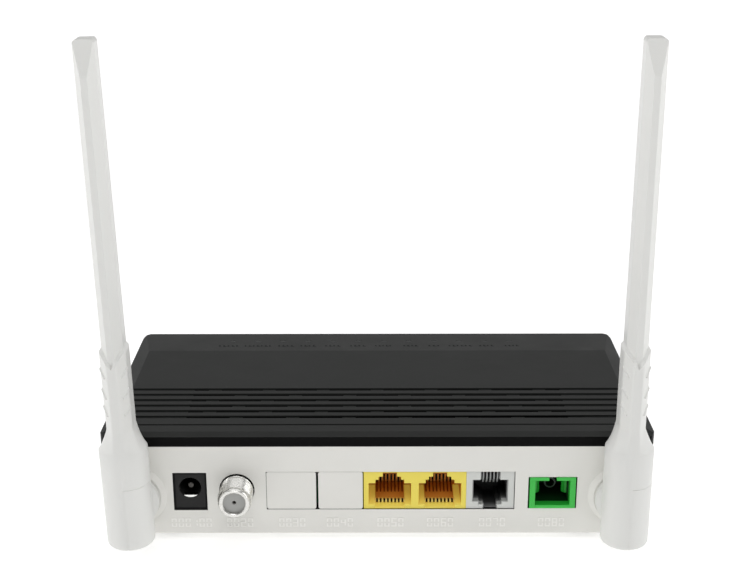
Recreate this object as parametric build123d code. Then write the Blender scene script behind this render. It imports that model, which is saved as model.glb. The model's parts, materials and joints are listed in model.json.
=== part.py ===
from build123d import *
import os
from math import acos, degrees, radians, tan

# Optical network terminal: a low two-part case with a row of sockets along one side and
# two swivelling antennas in front of that side. Millimetres. The parts are drawn with
# X along the row of sockets, Y away from the socket panel's outer face, and Z up from
# the table, and every part is moved by centre_shift when it is written.

# ---------------------------------------------------------------- driving sizes
# Case
case_width = 152.4
case_depth = 78.0
foot_height = 2.0
shell_top = 29.2
cover_top = 35.0
shell_wall = 2.0
shell_floor = 1.8
panel_wall = shell_wall
far_corner_r = 5.5
near_corner_r = 1.5
bottom_edge = 0.7

# Cover
cover_skin = 2.0
lip_clearance = 0.15
lip_wall = 1.0
lip_drop = 1.5
rear_wall_height = 2.9
ridge_y = 2.4
ridge_drop = 0.8
slope_break_share = 0.3
crease_inset_share = 0.6
flat_start_y = 27.3
strip_depth = 20.9
strip_drop = 1.8
far_edge_run = 1.3
far_edge_drop = 1.1
side_bevel_run = 4.6
side_bevel_drop = 2.0

# Vents in the cover
rim_groove_y = 3.5
groove_first_y = 8.4
groove_pitch = 3.6
groove_count = 6
groove_width = 1.6
groove_depth = 0.5
slot_count = 7
slot_length = 12.1
slot_bridge = 3.7

# Indicators
led_count = 12
led_pitch = 8.1
led_row_centre_x = -1.85
led_from_far = 10.0
window_width = 1.8
window_depth = 1.0
guide_clearance = 0.05
guide_bar_drop = 4.0
guide_bar_height = 2.0
guide_led_gap = 1.0
guide_leg_half = 1.0
guide_roof_gap = 0.05

# Board
board_half_width = 61.0
board_near_y = 4.0
board_far_gap = 6.0
board_bottom = 8.3
board_thickness = 1.6
board_screw_x = 57.5
board_screw_near_y = 26.0
board_screw_far_gap = 14.0
tab_reach = 70.0
tab_near_y = 34.0
tab_length = 24.0

# Components on the board, as (x, y, width, length, height) or (x, y, r, height)
processor_x = 0.0
processor_y = 46.0
processor_size = 17.0
processor_height = 1.4
heatsink_size = 22.0
heatsink_height = 11.0
heatsink_base = 2.2
fin_count = 7
memory_sizes = [(20.0, 42.0, 9.0, 12.0, 1.1), (20.0, 56.0, 8.0, 6.0, 1.0)]
transformer_y = 26.0
transformer_size = (12.5, 9.5, 5.5)
capacitor_sizes = [(-24.0, 22.0, 4.0, 11.0), (-14.0, 22.0, 4.0, 11.0), (-24.0, 33.0, 3.1, 8.0)]
capacitor_edge_r = 0.6
inductor_sizes = [(34.0, 26.0, 6.5, 6.5, 3.2), (34.0, 36.0, 6.5, 6.5, 3.2)]
inductor_corner_r = 1.2
can_skin = 0.4
wifi_can_size = (-32.0, 52.0, 24.0, 16.0, 3.0)
tuner_can_gap = 1.0
tuner_can_size = (16.0, 20.0, 7.0)
led_size = (1.6, 0.8, 0.7)
switch_size = 4.2
switch_length = 5.0
switch_edge_gap = 0.6
switch_knob_r = 1.0
switch_knob_reach = 1.2

# Fasteners
slot_width = 0.5
case_screw_slot = 3.2
board_screw_slot = 2.6
board_screw_slot_depth = 0.7
post_inset_x = 7.2
post_near_y = 20.0
post_far_gap = 12.0
post_r = 4.0
post_joint_z = 12.0
post_sink = 0.5
cover_post_r = 3.0
cover_post_gap = 0.2
case_screw_r = 1.25
case_screw_length = 13.0
screw_tip_gap = 1.0
case_screw_head_r = 2.5
case_screw_head = 1.6
case_head_recess = 3.0
head_clearance = 0.2
board_screw_r = 1.0
board_screw_length = 5.5
board_screw_head_r = 2.2
board_screw_head = 1.4
shank_clearance = 0.3
standoff_r = 3.0

# Underside
foot_r = 5.0
foot_seat = 0.6
foot_inset_x = 18.0
foot_near_y = 10.0
foot_far_gap = 10.0
keyhole_spacing = 80.0
keyhole_y = 44.0
keyhole_r = 3.75
keyhole_slot_r = 1.8
keyhole_slot_length = 6.5
hood_wall = 1.0
hood_height = 2.4
hood_gap = 0.4
hood_slot_gap = 1.6
foot_chamfer = 0.5
vent_count = 9
vent_pitch = 5.5
vent_width = 2.2
vent_length = 26.0
vent_y = 48.0
label_width = 54.0
label_length = 20.0
label_thickness = 0.2
label_y = 19.0

# Power jack
power_x = -52.1
power_width = 9.0
power_height = 11.15
power_length = 14.2
power_hole_r = 3.05
power_hole_depth = 9.5
power_hole_z = 6.6
power_pin_r = 1.0
power_recess = 0.4
power_pin_recess = 1.5
power_pin_tip_r = 0.5

# Coaxial connector
coax_x = -39.06
coax_z = 16.0
coax_r = 4.75
coax_reach = 8.3
coax_chamfer = 0.7
coax_root_r = 4.2
coax_root_length = 0.5
coax_hole_clearance = 0.17
coax_bore_r = 3.1
coax_bore_recess = 0.8
coax_contact_r = 0.55
coax_contact_bore = 5.0
coax_bore_end = 2.0
coax_base_width = 12.0
coax_base_height = 12.0
coax_base_length = 12.0

# Twisted-pair and telephone jacks, and the two blanked places
opening_x0 = -30.9
opening_x1 = 38.3
opening_gap = 0.1
jack_height = 11.5
jack_recess = 0.3
blank_outer_width = 13.75
blank_inner_width = 12.35
blank_spacing = 0.65
blank_face = 1.9
blank_flange = 1.0
blank_flange_lap = 1.2
blank_corner_r = 0.6
blank_leg_width = 5.0
blank_leg_length = 6.0
blank_leg_height = 3.0
lan_width = 28.6
lan_pitch = 13.97
lan_length = 18.0
lan_cavity = 12.4
lan_top_wall = 0.35
lan_steps = [(3.9, 1.25), (6.2, 0.94), (8.0, 1.1), (11.8, 6.6), (8.2, 0.9)]
lan_contact_count = 8
lan_contact_pitch = 1.02
lan_comb_start = 2.8
lan_contact_rise = 2.2
lan_contact_start = 0.6
lan_contact_land = 0.6
lan_contact_end = 1.0
contact_width = 0.36
contact_thickness = 0.3
phone_width = 13.4
phone_length = 16.0
phone_cavity = 11.0
phone_steps = [(5.5, 2.6), (9.9, 6.7), (6.5, 0.9), (3.9, 1.0)]
phone_contact_count = 4
phone_latch_width = 3.9
phone_latch_depth = 0.5
phone_contact_line = [(1.2, 0.4), (3.2, 0.4), (8.6, 4.4)]

# Optical adapter
optical_x = 48.8
optical_z = 15.0
optical_width = 12.8
optical_height = 9.5
optical_length = 18.0
optical_stand_out = 0.3
optical_inner_width = 9.6
optical_inner_height = 7.5
optical_cavity = 13.0
optical_key = 2.06
optical_sleeve_r = 1.6
optical_sleeve_bore_r = 1.25
optical_sleeve_start = 6.2
optical_hole_left = 0.4
optical_hole_right = 0.35
optical_hole_gap = 0.25
module_length = 13.0
module_half_width = 4.2
module_rise = 3.6
module_can_length = 4.0
module_can_r = 2.8
module_side_can_r = 2.3
module_side_can_y = 5.0
module_side_reach = 7.0

# Antenna. Every height is over the table, and the swivel axis runs along Y.
antenna_inset_x = 8.6
antenna_y = -8.7
swivel_z = 14.25
barrel_r = 6.5
barrel_bottom = 5.0
barrel_top = 33.9
barrel_bottom_r = 1.3
flare_r = 4.0
flare_z = 38.4
neck_z = 40.9
collar_half_width = 3.5
collar_front_half = 1.3
collar_front = 5.6
collar_side_front = 2.2
collar_side_back = 3.2
collar_back_half = 2.3
collar_back = 5.2
collar_top = 62.8
collar_dip = 58.6
cap_top = 23.5
cavity_r = 4.9
cavity_floor = 7.0
cavity_top = 30.0
blade_seat = 50.0
blade_top = 142.0
blade_half_width = 2.9
blade_front_half = 0.9
blade_front = 4.8
blade_side_front = 1.6
blade_side_back = 3.0
blade_back_half = 1.9
blade_back = 4.5
blade_taper = 0.93
blade_fit = 0.05
tip_drop = 8.5
tip_corner_r = 1.0
tip_overcut = 5.0
core_headroom = 3.0
left_antenna_lean = 1.4
grip_line_width = 0.45
grip_line_depth = 1.3
grip_line_z = [56.2, 50.4, 45.5]
grip_line_lean = 48.7
notch_rise = 1.18
dome_r = 9.0
dome_face_r = 7.6
dome_height = 1.2
hub_r = 7.3
hub_gap = 0.3
hub_thickness = 2.7
spigot_r = 4.0
spigot_clearance = 0.05
clip_gap = 0.3
clip_mouth_share = 0.8
clip_thickness = 0.7
clip_r = 6.0
clip_neck_r = 3.2
spigot_tail = 1.2
cable_r = 0.57
cable_bend_r = 5.65
cable_bore_r = 1.3
cable_meet_gap = 0.1
core_width = 3.0
core_thickness = 0.8
core_clearance = 0.3
core_seat = 2.0

# Aerial plugs on the board, the left one's place
plug_x = -51.0
plug_y = 35.6
plug_r = 1.5
plug_height = 2.1
plug_cable_z = 11.2

# The way an aerial cable takes from its spigot to its plug
cable_feed_reach = 1.0
cable_bend_share = 0.45
cable_first_run = 6.9
cable_turn_x = 5.0
cable_turn_y = 15.4
cable_turn_drop = 0.7
cable_near_x = 4.5
cable_near_y = 7.0
cable_near_rise = 0.5
cable_end_x = 0.8
cable_end_y = 1.3

# Buttons on the right-hand side
wps_y = 40.0
reset_y = 52.0
button_z = 13.0
wps_r = 2.45
reset_r = 0.8
button_clearance = 0.05
button_flange = 0.9
button_flange_lap = 0.9
button_flange_gap = 0.3
button_travel = 0.5
wps_stand_out = -0.3
reset_recess = 0.6
button_switch_gap = 0.1
wps_edge_r = 0.3

# How far a cut runs past the face it opens
overcut = 0.1
past = 1.0

# ---------------------------------------------------------------- values worked out
half_width = case_width / 2
shell_bottom = foot_height
floor_top = shell_bottom + shell_floor
board_top = board_bottom + board_thickness
board_far_y = case_depth - board_far_gap
board_screw_far_y = case_depth - board_screw_far_gap
cover_wall = shell_wall + lip_clearance + lip_wall
post_x = half_width - post_inset_x
post_far_y = case_depth - post_far_gap
post_places = [(x, y) for x in (-post_x, post_x) for y in (post_near_y, post_far_y)]
foot_x = half_width - foot_inset_x
foot_far_y = case_depth - foot_far_gap
foot_places = [(x, y) for x in (-foot_x, foot_x) for y in (foot_near_y, foot_far_y)]
screw_places = [
    (x, y)
    for x in (-board_screw_x, board_screw_x)
    for y in (board_screw_near_y, board_screw_far_y)
]
antenna_x = half_width - antenna_inset_x
jack_top = board_top + jack_height
lan_x = opening_x1 - opening_gap - phone_width - lan_width / 2
phone_x = opening_x1 - opening_gap - phone_width / 2
led_y = case_depth - led_from_far
led_places = [led_row_centre_x + (i - (led_count - 1) / 2) * led_pitch for i in range(led_count)]
clip_near_y = panel_wall + clip_gap
spigot_end_y = clip_near_y + clip_thickness + spigot_tail
antenna_front = antenna_y - barrel_r
centre_shift = -(case_depth + antenna_front) / 2
core_top = blade_top - tip_drop - core_headroom


# ---------------------------------------------------------------- shapes used all over
def block(x0, x1, y0, y1, z0, z1):
    """A box between two corners."""
    centre = Pos((x0 + x1) / 2, (y0 + y1) / 2, (z0 + z1) / 2)
    return centre * Box(x1 - x0, y1 - y0, z1 - z0)


def rod_z(r, x, y, z0, z1):
    """An upright cylinder."""
    return Pos(x, y, (z0 + z1) / 2) * Cylinder(r, z1 - z0)


def rod_y(r, x, z, y0, y1):
    """A cylinder along Y."""
    return Pos(x, (y0 + y1) / 2, z) * Rot(90, 0, 0) * Cylinder(r, y1 - y0)


def rod_x(r, y, z, x0, x1):
    """A cylinder along X."""
    return Pos((x0 + x1) / 2, y, z) * Rot(0, 90, 0) * Cylinder(r, x1 - x0)


def side_prism(points, x0, x1):
    """An outline of (y, z) points, from x0 to x1."""
    face = make_face(Polyline(*[(x0, y, z) for y, z in points], close=True))
    return extrude(face, amount=x1 - x0, dir=(1, 0, 0))


def front_prism(points, y0, y1):
    """An outline of (x, z) points, from y0 to y1."""
    face = make_face(Polyline(*[(x, y0, z) for x, z in points], close=True))
    return extrude(face, amount=y1 - y0, dir=(0, 1, 0))


def plan_body(inset, z0, z1):
    """The case's rounded plan, inset all round, from z0 to z1."""
    body = block(
        inset - half_width, half_width - inset, inset, case_depth - inset, z0, z1
    )
    corners = body.edges().filter_by(Axis.Z).sort_by(Axis.Y)
    body = fillet(corners[2:], far_corner_r - inset)
    if inset < near_corner_r:
        near = body.edges().filter_by(Axis.Z).sort_by(Axis.Y)[:2]
        body = fillet(near, near_corner_r - inset)
    return body


def stepped_hole(x, z_top, steps, y0, y1):
    """A socket's mouth: centred rectangles of (width, height), stacked downwards."""
    hole = None
    z = z_top
    for width, height in steps:
        piece = block(x - width / 2, x + width / 2, y0, y1, z - height, z)
        hole = piece if hole is None else hole + piece
        z -= height
    return hole


def quarter_arc(start, end, centre):
    """A quarter circle between two points about a centre."""
    start, end, centre = Vector(*start), Vector(*end), Vector(*centre)
    outwards = ((start + end) * 0.5 - centre).normalized()
    return ThreePointArc(start, centre + outwards * (start - centre).length, end)


def tube_along(points, r):
    """A round cable along straight runs joined by tangent arcs."""
    pts = [Vector(*p) for p in points]
    pieces = []
    start = pts[0]
    for before, corner, after in zip(pts, pts[1:], pts[2:]):
        back = (before - corner).normalized()
        ahead = (after - corner).normalized()
        half_turn = (180 - degrees(acos(back.dot(ahead)))) / 2
        reach = cable_bend_share * min((before - corner).length, (after - corner).length)
        bend_r = reach / tan(radians(half_turn))
        arc_start = corner + back * reach
        arc_end = corner + ahead * reach
        middle_way = (back + ahead).normalized()
        centre_distance = (bend_r**2 + reach**2) ** 0.5
        arc_middle = corner + middle_way * (centre_distance - bend_r)
        pieces.append(Line(start, arc_start))
        pieces.append(ThreePointArc(arc_start, arc_middle, arc_end))
        start = arc_end
    pieces.append(Line(start, pts[-1]))
    path = Wire(pieces)
    profile = Plane(origin=pts[0], z_dir=(pts[1] - pts[0])) * Circle(r)
    return sweep(profile, path=path)


# ---------------------------------------------------------------- lower shell
def panel_holes():
    """Everything that passes through the socket panel's wall."""
    y0 = -0.1
    y1 = panel_wall + overcut
    gap = power_recess / 2
    half = power_width / 2 + gap
    holes = block(
        power_x - half, power_x + half, y0, y1, board_top - gap, board_top + power_height + gap
    )
    holes += rod_y(coax_r + coax_hole_clearance, coax_x, coax_z, y0, y1)
    holes += block(opening_x0, opening_x1, y0, y1, board_top, jack_top + opening_gap)
    left = optical_x - optical_width / 2 - optical_hole_left
    right = optical_x + optical_width / 2 + optical_hole_right
    low = optical_z - optical_height / 2 - optical_hole_gap / 4
    high = optical_z + optical_height / 2 + optical_hole_gap / 4
    holes += block(left, right, y0, y1, low, high)
    for x in (-antenna_x, antenna_x):
        holes += rod_y(spigot_r + spigot_clearance, x, swivel_z, -dome_height - overcut, y1)
    return holes


def dome(x):
    """The low cone that an antenna turns on."""
    cone = Cone(dome_r, dome_face_r, dome_height)
    placed = Pos(x, -dome_height / 2, swivel_z) * Rot(90, 0, 0) * cone
    edge = half_width - near_corner_r
    return placed & block(-edge, edge, -dome_height, 0, shell_bottom, shell_top)


def keyhole(x):
    """A keyhole for a wall screw: the way in, and the slot above it when it hangs."""
    z0 = shell_bottom - overcut
    z1 = floor_top + overcut
    hole = rod_z(keyhole_r, x, keyhole_y, z0, z1)
    end_y = keyhole_y + keyhole_slot_length
    hole += block(x - keyhole_slot_r, x + keyhole_slot_r, keyhole_y, end_y, z0, z1)
    hole += rod_z(keyhole_slot_r, x, end_y, z0, z1)
    return hole


def keyhole_room(x, grow):
    """The room for the screw's head over a keyhole, or its hood when grown."""
    half = keyhole_r + hood_gap + grow
    near = keyhole_y - half
    far = keyhole_y + keyhole_slot_length + keyhole_slot_r + hood_slot_gap + grow
    return block(x - half, x + half, near, far, floor_top, floor_top + hood_height + grow)


def lower_case():
    """The lower case as one form: floor, three walls and the socket panel."""
    body = plan_body(0, shell_bottom, shell_top)
    body = chamfer(body.faces().sort_by(Axis.Z)[0].edges(), bottom_edge)
    room = plan_body(shell_wall, floor_top, shell_top + past)
    body -= room - panel_slab()
    for x in (-antenna_x, antenna_x):
        body += dome(x)
    body -= panel_holes()
    for x, y in post_places:
        body += rod_z(post_r, x, y, floor_top - post_sink, post_joint_z)
    for x, y in screw_places:
        body += rod_z(standoff_r, x, y, floor_top - post_sink, board_bottom)
    for x in (-keyhole_spacing / 2, keyhole_spacing / 2):
        body += keyhole_room(x, hood_wall)
        body -= keyhole_room(x, 0)
        body -= keyhole(x)
    for x, y in post_places:
        head_r = case_screw_head_r + head_clearance
        body -= rod_z(head_r, x, y, shell_bottom - overcut, shell_bottom + case_head_recess)
        body -= rod_z(case_screw_r + shank_clearance, x, y, shell_bottom, post_joint_z + overcut)
    for x, y in screw_places:
        tip = board_top - board_screw_length
        body -= rod_z(board_screw_r, x, y, tip, board_bottom + overcut)
    for x, y in foot_places:
        body -= rod_z(foot_r, x, y, shell_bottom - overcut, shell_bottom + foot_seat)
    for i in range(vent_count):
        x = (i - (vent_count - 1) / 2) * vent_pitch
        y0 = vent_y - vent_length / 2
        y1 = vent_y + vent_length / 2
        body -= block(
            x - vent_width / 2, x + vent_width / 2, y0, y1, shell_bottom - overcut, floor_top + overcut
        )
    body -= label_block()
    wall_x0 = half_width - shell_wall - overcut
    wall_x1 = half_width + overcut
    body -= rod_x(wps_r + button_clearance, wps_y, button_z, wall_x0, wall_x1)
    body -= rod_x(reset_r + button_clearance, reset_y, button_z, wall_x0, wall_x1)
    return body


def panel_slab():
    """The slice of the lower case that is the socket panel."""
    front = -dome_height - 1
    return block(-half_width, half_width, front, panel_wall, 0, shell_top + past)


def label_block():
    """The blank rating label, flush in its recess under the shell."""
    y0 = label_y - label_length / 2
    y1 = label_y + label_length / 2
    half = label_width / 2
    return block(-half, half, y0, y1, shell_bottom, shell_bottom + label_thickness)


def rubber_feet():
    feet = []
    for x, y in foot_places:
        foot = rod_z(foot_r, x, y, 0, shell_bottom + foot_seat)
        feet.append(chamfer(foot.faces().sort_by(Axis.Z)[0].edges(), foot_chamfer))
    return feet


# ---------------------------------------------------------------- cover
def cover_body(inset):
    """The cover's outer form, or the room inside it when inset."""
    base = shell_top - (1 if inset else 0)
    skin = cover_skin if inset else 0
    rear_z = shell_top + rear_wall_height - skin
    ridge_z = cover_top - ridge_drop - skin
    top = cover_top - skin
    far_top_y = case_depth - far_edge_run
    far_top_z = cover_top - strip_drop - skin
    far_low_z = far_top_z - far_edge_drop
    strip_y = case_depth - strip_depth
    outline = [
        (inset, base),
        (inset, rear_z),
        (inset + ridge_y * slope_break_share, (rear_z + 2 * ridge_z) / 3),
        (inset + ridge_y, ridge_z),
        (flat_start_y, top),
        (strip_y, top),
        (far_top_y - inset, far_top_z),
        (case_depth - inset, far_low_z),
        (case_depth - inset, base),
    ]
    body = side_prism(outline, -half_width, half_width)
    side = half_width - inset
    crease = half_width - side_bevel_run - inset * crease_inset_share
    bevel_z = top - side_bevel_drop
    section = [(-side, base), (-side, bevel_z), (-crease, top), (crease, top)]
    section += [(side, bevel_z), (side, base)]
    body &= front_prism(section, 0, case_depth)
    body &= plan_body(inset, base, cover_top)
    return body


def roof_z(y):
    """The height of the cover's sloping top over its vents."""
    share = (y - ridge_y) / (flat_start_y - ridge_y)
    return cover_top - ridge_drop * (1 - share)


def strip_z(y, inset=0):
    """The height of the sloping indicator strip, or of its underside when inset."""
    run = strip_depth - far_edge_run - inset
    top = cover_top - (cover_skin if inset else 0)
    return top - strip_drop * (y - (case_depth - strip_depth)) / run


def slot_row(shifted):
    """The (x0, x1) spans of one row of vent slots."""
    pitch = slot_length + slot_bridge
    start = -(slot_count * pitch - slot_bridge) / 2
    end = -start
    first = start - (pitch / 2 if shifted else 0)
    spans = []
    for i in range(slot_count + 1):
        x0 = max(first + i * pitch, start)
        x1 = min(first + i * pitch + slot_length, end)
        if x1 - x0 > slot_bridge / 2:
            spans.append((x0, x1))
    return spans


def top_cover():
    body = cover_body(0) - cover_body(cover_wall)
    lip_out = shell_wall + lip_clearance
    lip = plan_body(lip_out, shell_top - lip_drop, shell_top)
    lip -= plan_body(cover_wall, shell_top - lip_drop - past, shell_top + past)
    body += lip
    for x, y in post_places:
        body += rod_z(cover_post_r, x, y, post_joint_z, cover_top - cover_skin - cover_post_gap)
        body -= rod_z(case_screw_r, x, y, post_joint_z - overcut, post_joint_z + case_screw_length)
    for i in range(groove_count):
        y = groove_first_y + i * groove_pitch
        z = roof_z(y)
        y0 = y - groove_width / 2
        y1 = y + groove_width / 2
        body -= block(-half_width, half_width, y0, y1, z - groove_depth, cover_top + past)
        for x0, x1 in slot_row(i % 2 == 1):
            body -= block(x0, x1, y0, y1, z - cover_skin - past, cover_top)
    rim_z = roof_z(rim_groove_y)
    rim_half = groove_width / 4
    body -= block(
        -half_width,
        half_width,
        rim_groove_y - rim_half,
        rim_groove_y + rim_half,
        rim_z - groove_depth / 2,
        cover_top,
    )
    for x in led_places:
        body -= block(
            x - window_width / 2,
            x + window_width / 2,
            led_y - window_depth / 2,
            led_y + window_depth / 2,
            shell_top,
            cover_top,
        )
    return body


def light_guide():
    """Clear legs from each indicator up to its window, tied by one bar."""
    half_w = window_width / 2 - guide_clearance
    half_d = window_depth / 2 - guide_clearance
    bar_z = shell_top - guide_bar_drop
    x0 = led_places[0] - led_pitch / 2
    x1 = led_places[-1] + led_pitch / 2
    bar_top = bar_z + guide_bar_height
    guide = block(x0, x1, led_y - half_d * 3, led_y + half_d * 3, bar_z, bar_top)
    roof = strip_z(led_y + half_d) - guide_roof_gap
    low = board_top + guide_led_gap
    for x in led_places:
        guide += block(x - half_w, x + half_w, led_y - half_d, led_y + half_d, low, roof)
    hang = strip_z(led_y + half_d * 3, cover_wall)
    for x in (x0 + guide_leg_half, x1 - guide_leg_half):
        leg_x0, leg_x1 = x - guide_leg_half, x + guide_leg_half
        guide += block(leg_x0, leg_x1, led_y - half_d * 3, led_y + half_d * 3, bar_z, hang)
    return guide


def indicator_leds():
    return [on_board(x, led_y, *led_size) for x in led_places]


# ---------------------------------------------------------------- fasteners
def cross_slot(x, y, length, z0, z1):
    """The crossed slots in a screw's head."""
    half = slot_width / 2
    reach = length / 2
    cross = block(x - reach, x + reach, y - half, y + half, z0, z1)
    return cross + block(x - half, x + half, y - reach, y + reach, z0, z1)


def case_screws():
    screws = []
    seat = shell_bottom + case_head_recess
    for x, y in post_places:
        screw = rod_z(case_screw_head_r, x, y, seat - case_screw_head, seat)
        screw += rod_z(case_screw_r, x, y, seat, post_joint_z + case_screw_length - screw_tip_gap)
        screw -= cross_slot(x, y, case_screw_slot, 0, seat - case_screw_head / 2)
        screws.append(screw)
    return screws


def board_screws():
    screws = []
    head_top = board_top + board_screw_head
    for x, y in screw_places:
        screw = rod_z(board_screw_head_r, x, y, board_top, head_top)
        screw += rod_z(board_screw_r, x, y, board_top - board_screw_length, board_top)
        low = head_top - board_screw_slot_depth
        screw -= cross_slot(x, y, board_screw_slot, low, head_top + past)
        screws.append(screw)
    return screws


# ---------------------------------------------------------------- board and what stands on it
def main_board():
    board = block(
        -board_half_width, board_half_width, board_near_y, board_far_y, board_bottom, board_top
    )
    tab_end = tab_near_y + tab_length
    board += block(board_half_width - past, tab_reach, tab_near_y, tab_end, board_bottom, board_top)
    for x, y in screw_places:
        board -= rod_z(board_screw_r + shank_clearance, x, y, board_bottom - past, board_top + past)
    return board


def on_board(x, y, width, length, height, lift=0):
    """A component's block, centred at x and y, on the board."""
    z = board_top + lift
    return block(x - width / 2, x + width / 2, y - length / 2, y + length / 2, z, z + height)


def shield_can(x, y, width, length, height):
    """A thin folded can, open towards the board."""
    can = on_board(x, y, width, length, height)
    inner_width = width - 2 * can_skin
    inner_length = length - 2 * can_skin
    return can - on_board(x, y, inner_width, inner_length, height - can_skin)


def heatsink():
    base = processor_height
    sink = on_board(processor_x, processor_y, heatsink_size, heatsink_size, heatsink_height, base)
    pitch = heatsink_size / fin_count
    gap = pitch / 2
    for i in range(fin_count - 1):
        x = processor_x + (i - (fin_count - 2) / 2) * pitch
        sink -= on_board(
            x, processor_y, gap, heatsink_size + past, heatsink_height, base + heatsink_base
        )
    return sink


def memory_chips():
    return [on_board(*sizes) for sizes in memory_sizes]


def lan_transformers():
    half = lan_pitch / 2
    return [on_board(lan_x + dx, transformer_y, *transformer_size) for dx in (-half, half)]


def capacitors():
    cans = []
    for x, y, r, height in capacitor_sizes:
        can = rod_z(r, x, y, board_top, board_top + height)
        cans.append(fillet(can.faces().sort_by(Axis.Z)[-1].edges(), capacitor_edge_r))
    return cans


def inductors():
    coils = []
    for sizes in inductor_sizes:
        coil = on_board(*sizes)
        coils.append(fillet(coil.edges().filter_by(Axis.Z), inductor_corner_r))
    return coils


def tuner_shield():
    width, length, height = tuner_can_size
    near = panel_wall + coax_base_length + tuner_can_gap
    return shield_can(coax_x, near + length / 2, width, length, height)


def push_switches():
    """Two side-acting switches on the board's tab, one behind each button."""
    switches = []
    half = switch_size / 2
    x1 = tab_reach - switch_edge_gap
    for y in (wps_y, reset_y):
        top = board_top + switch_size + 1
        body = block(x1 - switch_length, x1, y - half, y + half, board_top, top)
        body += rod_x(switch_knob_r, y, button_z, x1, x1 + switch_knob_reach)
        switches.append(body)
    return switches


# ---------------------------------------------------------------- power jack
def power_jack():
    half = power_width / 2
    y1 = power_recess + power_length
    hole_z = board_top + power_hole_z
    body = block(
        power_x - half, power_x + half, power_recess, y1, board_top, board_top + power_height
    )
    body -= rod_y(power_hole_r, power_x, hole_z, power_recess - past, power_recess + power_hole_depth)
    body -= rod_y(power_pin_r, power_x, hole_z, power_recess, y1 + past)
    return body


def power_jack_pin():
    hole_z = board_top + power_hole_z
    y1 = power_recess + power_length
    pin = rod_y(power_pin_r, power_x, hole_z, power_recess + power_pin_recess, y1)
    return fillet(pin.faces().sort_by(Axis.Y)[0].edges(), power_pin_tip_r)


# ---------------------------------------------------------------- coaxial connector
def coax_connector():
    body = rod_y(coax_r, coax_x, coax_z, -coax_reach, -coax_root_length)
    body = chamfer(body.faces().sort_by(Axis.Y)[0].edges(), coax_chamfer)
    body += rod_y(coax_root_r, coax_x, coax_z, -coax_root_length, panel_wall)
    half = coax_base_width / 2
    y1 = panel_wall + coax_base_length
    body += block(
        coax_x - half, coax_x + half, panel_wall, y1, board_top, board_top + coax_base_height
    )
    body -= rod_y(coax_bore_r, coax_x, coax_z, -coax_reach - past, panel_wall + coax_bore_end)
    return body


def coax_insulator():
    y0 = coax_bore_recess - coax_reach
    y1 = panel_wall + coax_bore_end
    plug = rod_y(coax_bore_r, coax_x, coax_z, y0, y1)
    return plug - rod_y(coax_contact_r, coax_x, coax_z, y0 - past, y1)


def coax_contact():
    y0 = 2 * coax_bore_recess - coax_reach
    contact = rod_y(coax_contact_r, coax_x, coax_z, y0, panel_wall + coax_bore_end)
    bore_end = y0 + coax_contact_bore
    return contact - rod_y(coax_contact_r / 2, coax_x, coax_z, y0 - past, bore_end)


# ---------------------------------------------------------------- jacks and blanks
def jack_body(x, width, length):
    return block(
        x - width / 2, x + width / 2, jack_recess, jack_recess + length, board_top, jack_top
    )


def lan_jack():
    body = jack_body(lan_x, lan_width, lan_length)
    for dx in (-lan_pitch / 2, lan_pitch / 2):
        body -= stepped_hole(lan_x + dx, jack_top - lan_top_wall, lan_steps, 0, lan_cavity)
    return body


def contact_prism(x, outline):
    """One bent strip contact, from its centre line of (y, z) points."""
    low = [(y, z - contact_thickness / 2) for y, z in outline]
    high = [(y, z + contact_thickness / 2) for y, z in reversed(outline)]
    return side_prism(low + high, x - contact_width / 2, x + contact_width / 2)


def lan_contacts():
    floor = jack_top - lan_top_wall - sum(height for _, height in lan_steps)
    strip = contact_thickness / 2
    start = lan_comb_start + lan_contact_start
    outline = [
        (start, floor + strip),
        (start + lan_contact_land, floor + 2 * strip),
        (lan_cavity - lan_contact_end, floor + lan_contact_rise),
        (lan_cavity, floor + lan_contact_rise),
    ]
    middle = (lan_contact_count - 1) / 2
    contacts = []
    for dx in (-lan_pitch / 2, lan_pitch / 2):
        for i in range(lan_contact_count):
            x = lan_x + dx + (i - middle) * lan_contact_pitch
            contacts.append(contact_prism(x, outline))
    return contacts


def phone_jack():
    body = jack_body(phone_x, phone_width, phone_length)
    body -= stepped_hole(phone_x, jack_top, phone_steps, 0, phone_cavity)
    half = phone_latch_width / 2
    low = board_top - 1
    high = board_top + phone_latch_depth
    return body - block(phone_x - half, phone_x + half, 0, phone_cavity, low, high)


def phone_contacts():
    outline = [(y, jack_top - drop) for y, drop in phone_contact_line]
    outline.append((phone_cavity, outline[-1][1]))
    middle = (phone_contact_count - 1) / 2
    return [
        contact_prism(phone_x + (i - middle) * lan_contact_pitch, outline)
        for i in range(phone_contact_count)
    ]


def port_blank(x0, x1):
    """A plate that closes an unused socket's place, with a flange behind the panel."""
    z0 = board_top + opening_gap
    z1 = jack_top
    face = block(x0, x1, panel_wall - blank_face, panel_wall, z0, z1)
    face = fillet(face.edges().filter_by(Axis.Y), blank_corner_r)
    lap = blank_flange_lap
    y1 = panel_wall + blank_flange
    face += block(x0, x1, panel_wall, y1, z0, z1 + lap)
    leg_x = (x0 + x1 - blank_leg_width) / 2
    leg_top = board_top + blank_leg_height
    leg = block(leg_x, leg_x + blank_leg_width, y1, y1 + blank_leg_length, board_top, leg_top)
    return face + leg


# ---------------------------------------------------------------- optical adapter
def optical_adapter():
    half = optical_width / 2
    low = optical_z - optical_height / 2
    high = optical_z + optical_height / 2
    front = -optical_stand_out
    body = block(optical_x - half, optical_x + half, front, optical_length, low, high)
    inner = optical_inner_width / 2
    inner_high = optical_inner_height / 2
    body -= block(
        optical_x - inner,
        optical_x + inner,
        front - past,
        optical_cavity,
        optical_z - inner_high,
        optical_z + inner_high,
    )
    key = optical_key / 2
    body -= block(optical_x - key, optical_x + key, front - past, optical_cavity, optical_z, high + past)
    body -= rod_y(optical_sleeve_r, optical_x, optical_z, 0, optical_length + past)
    return body


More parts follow.
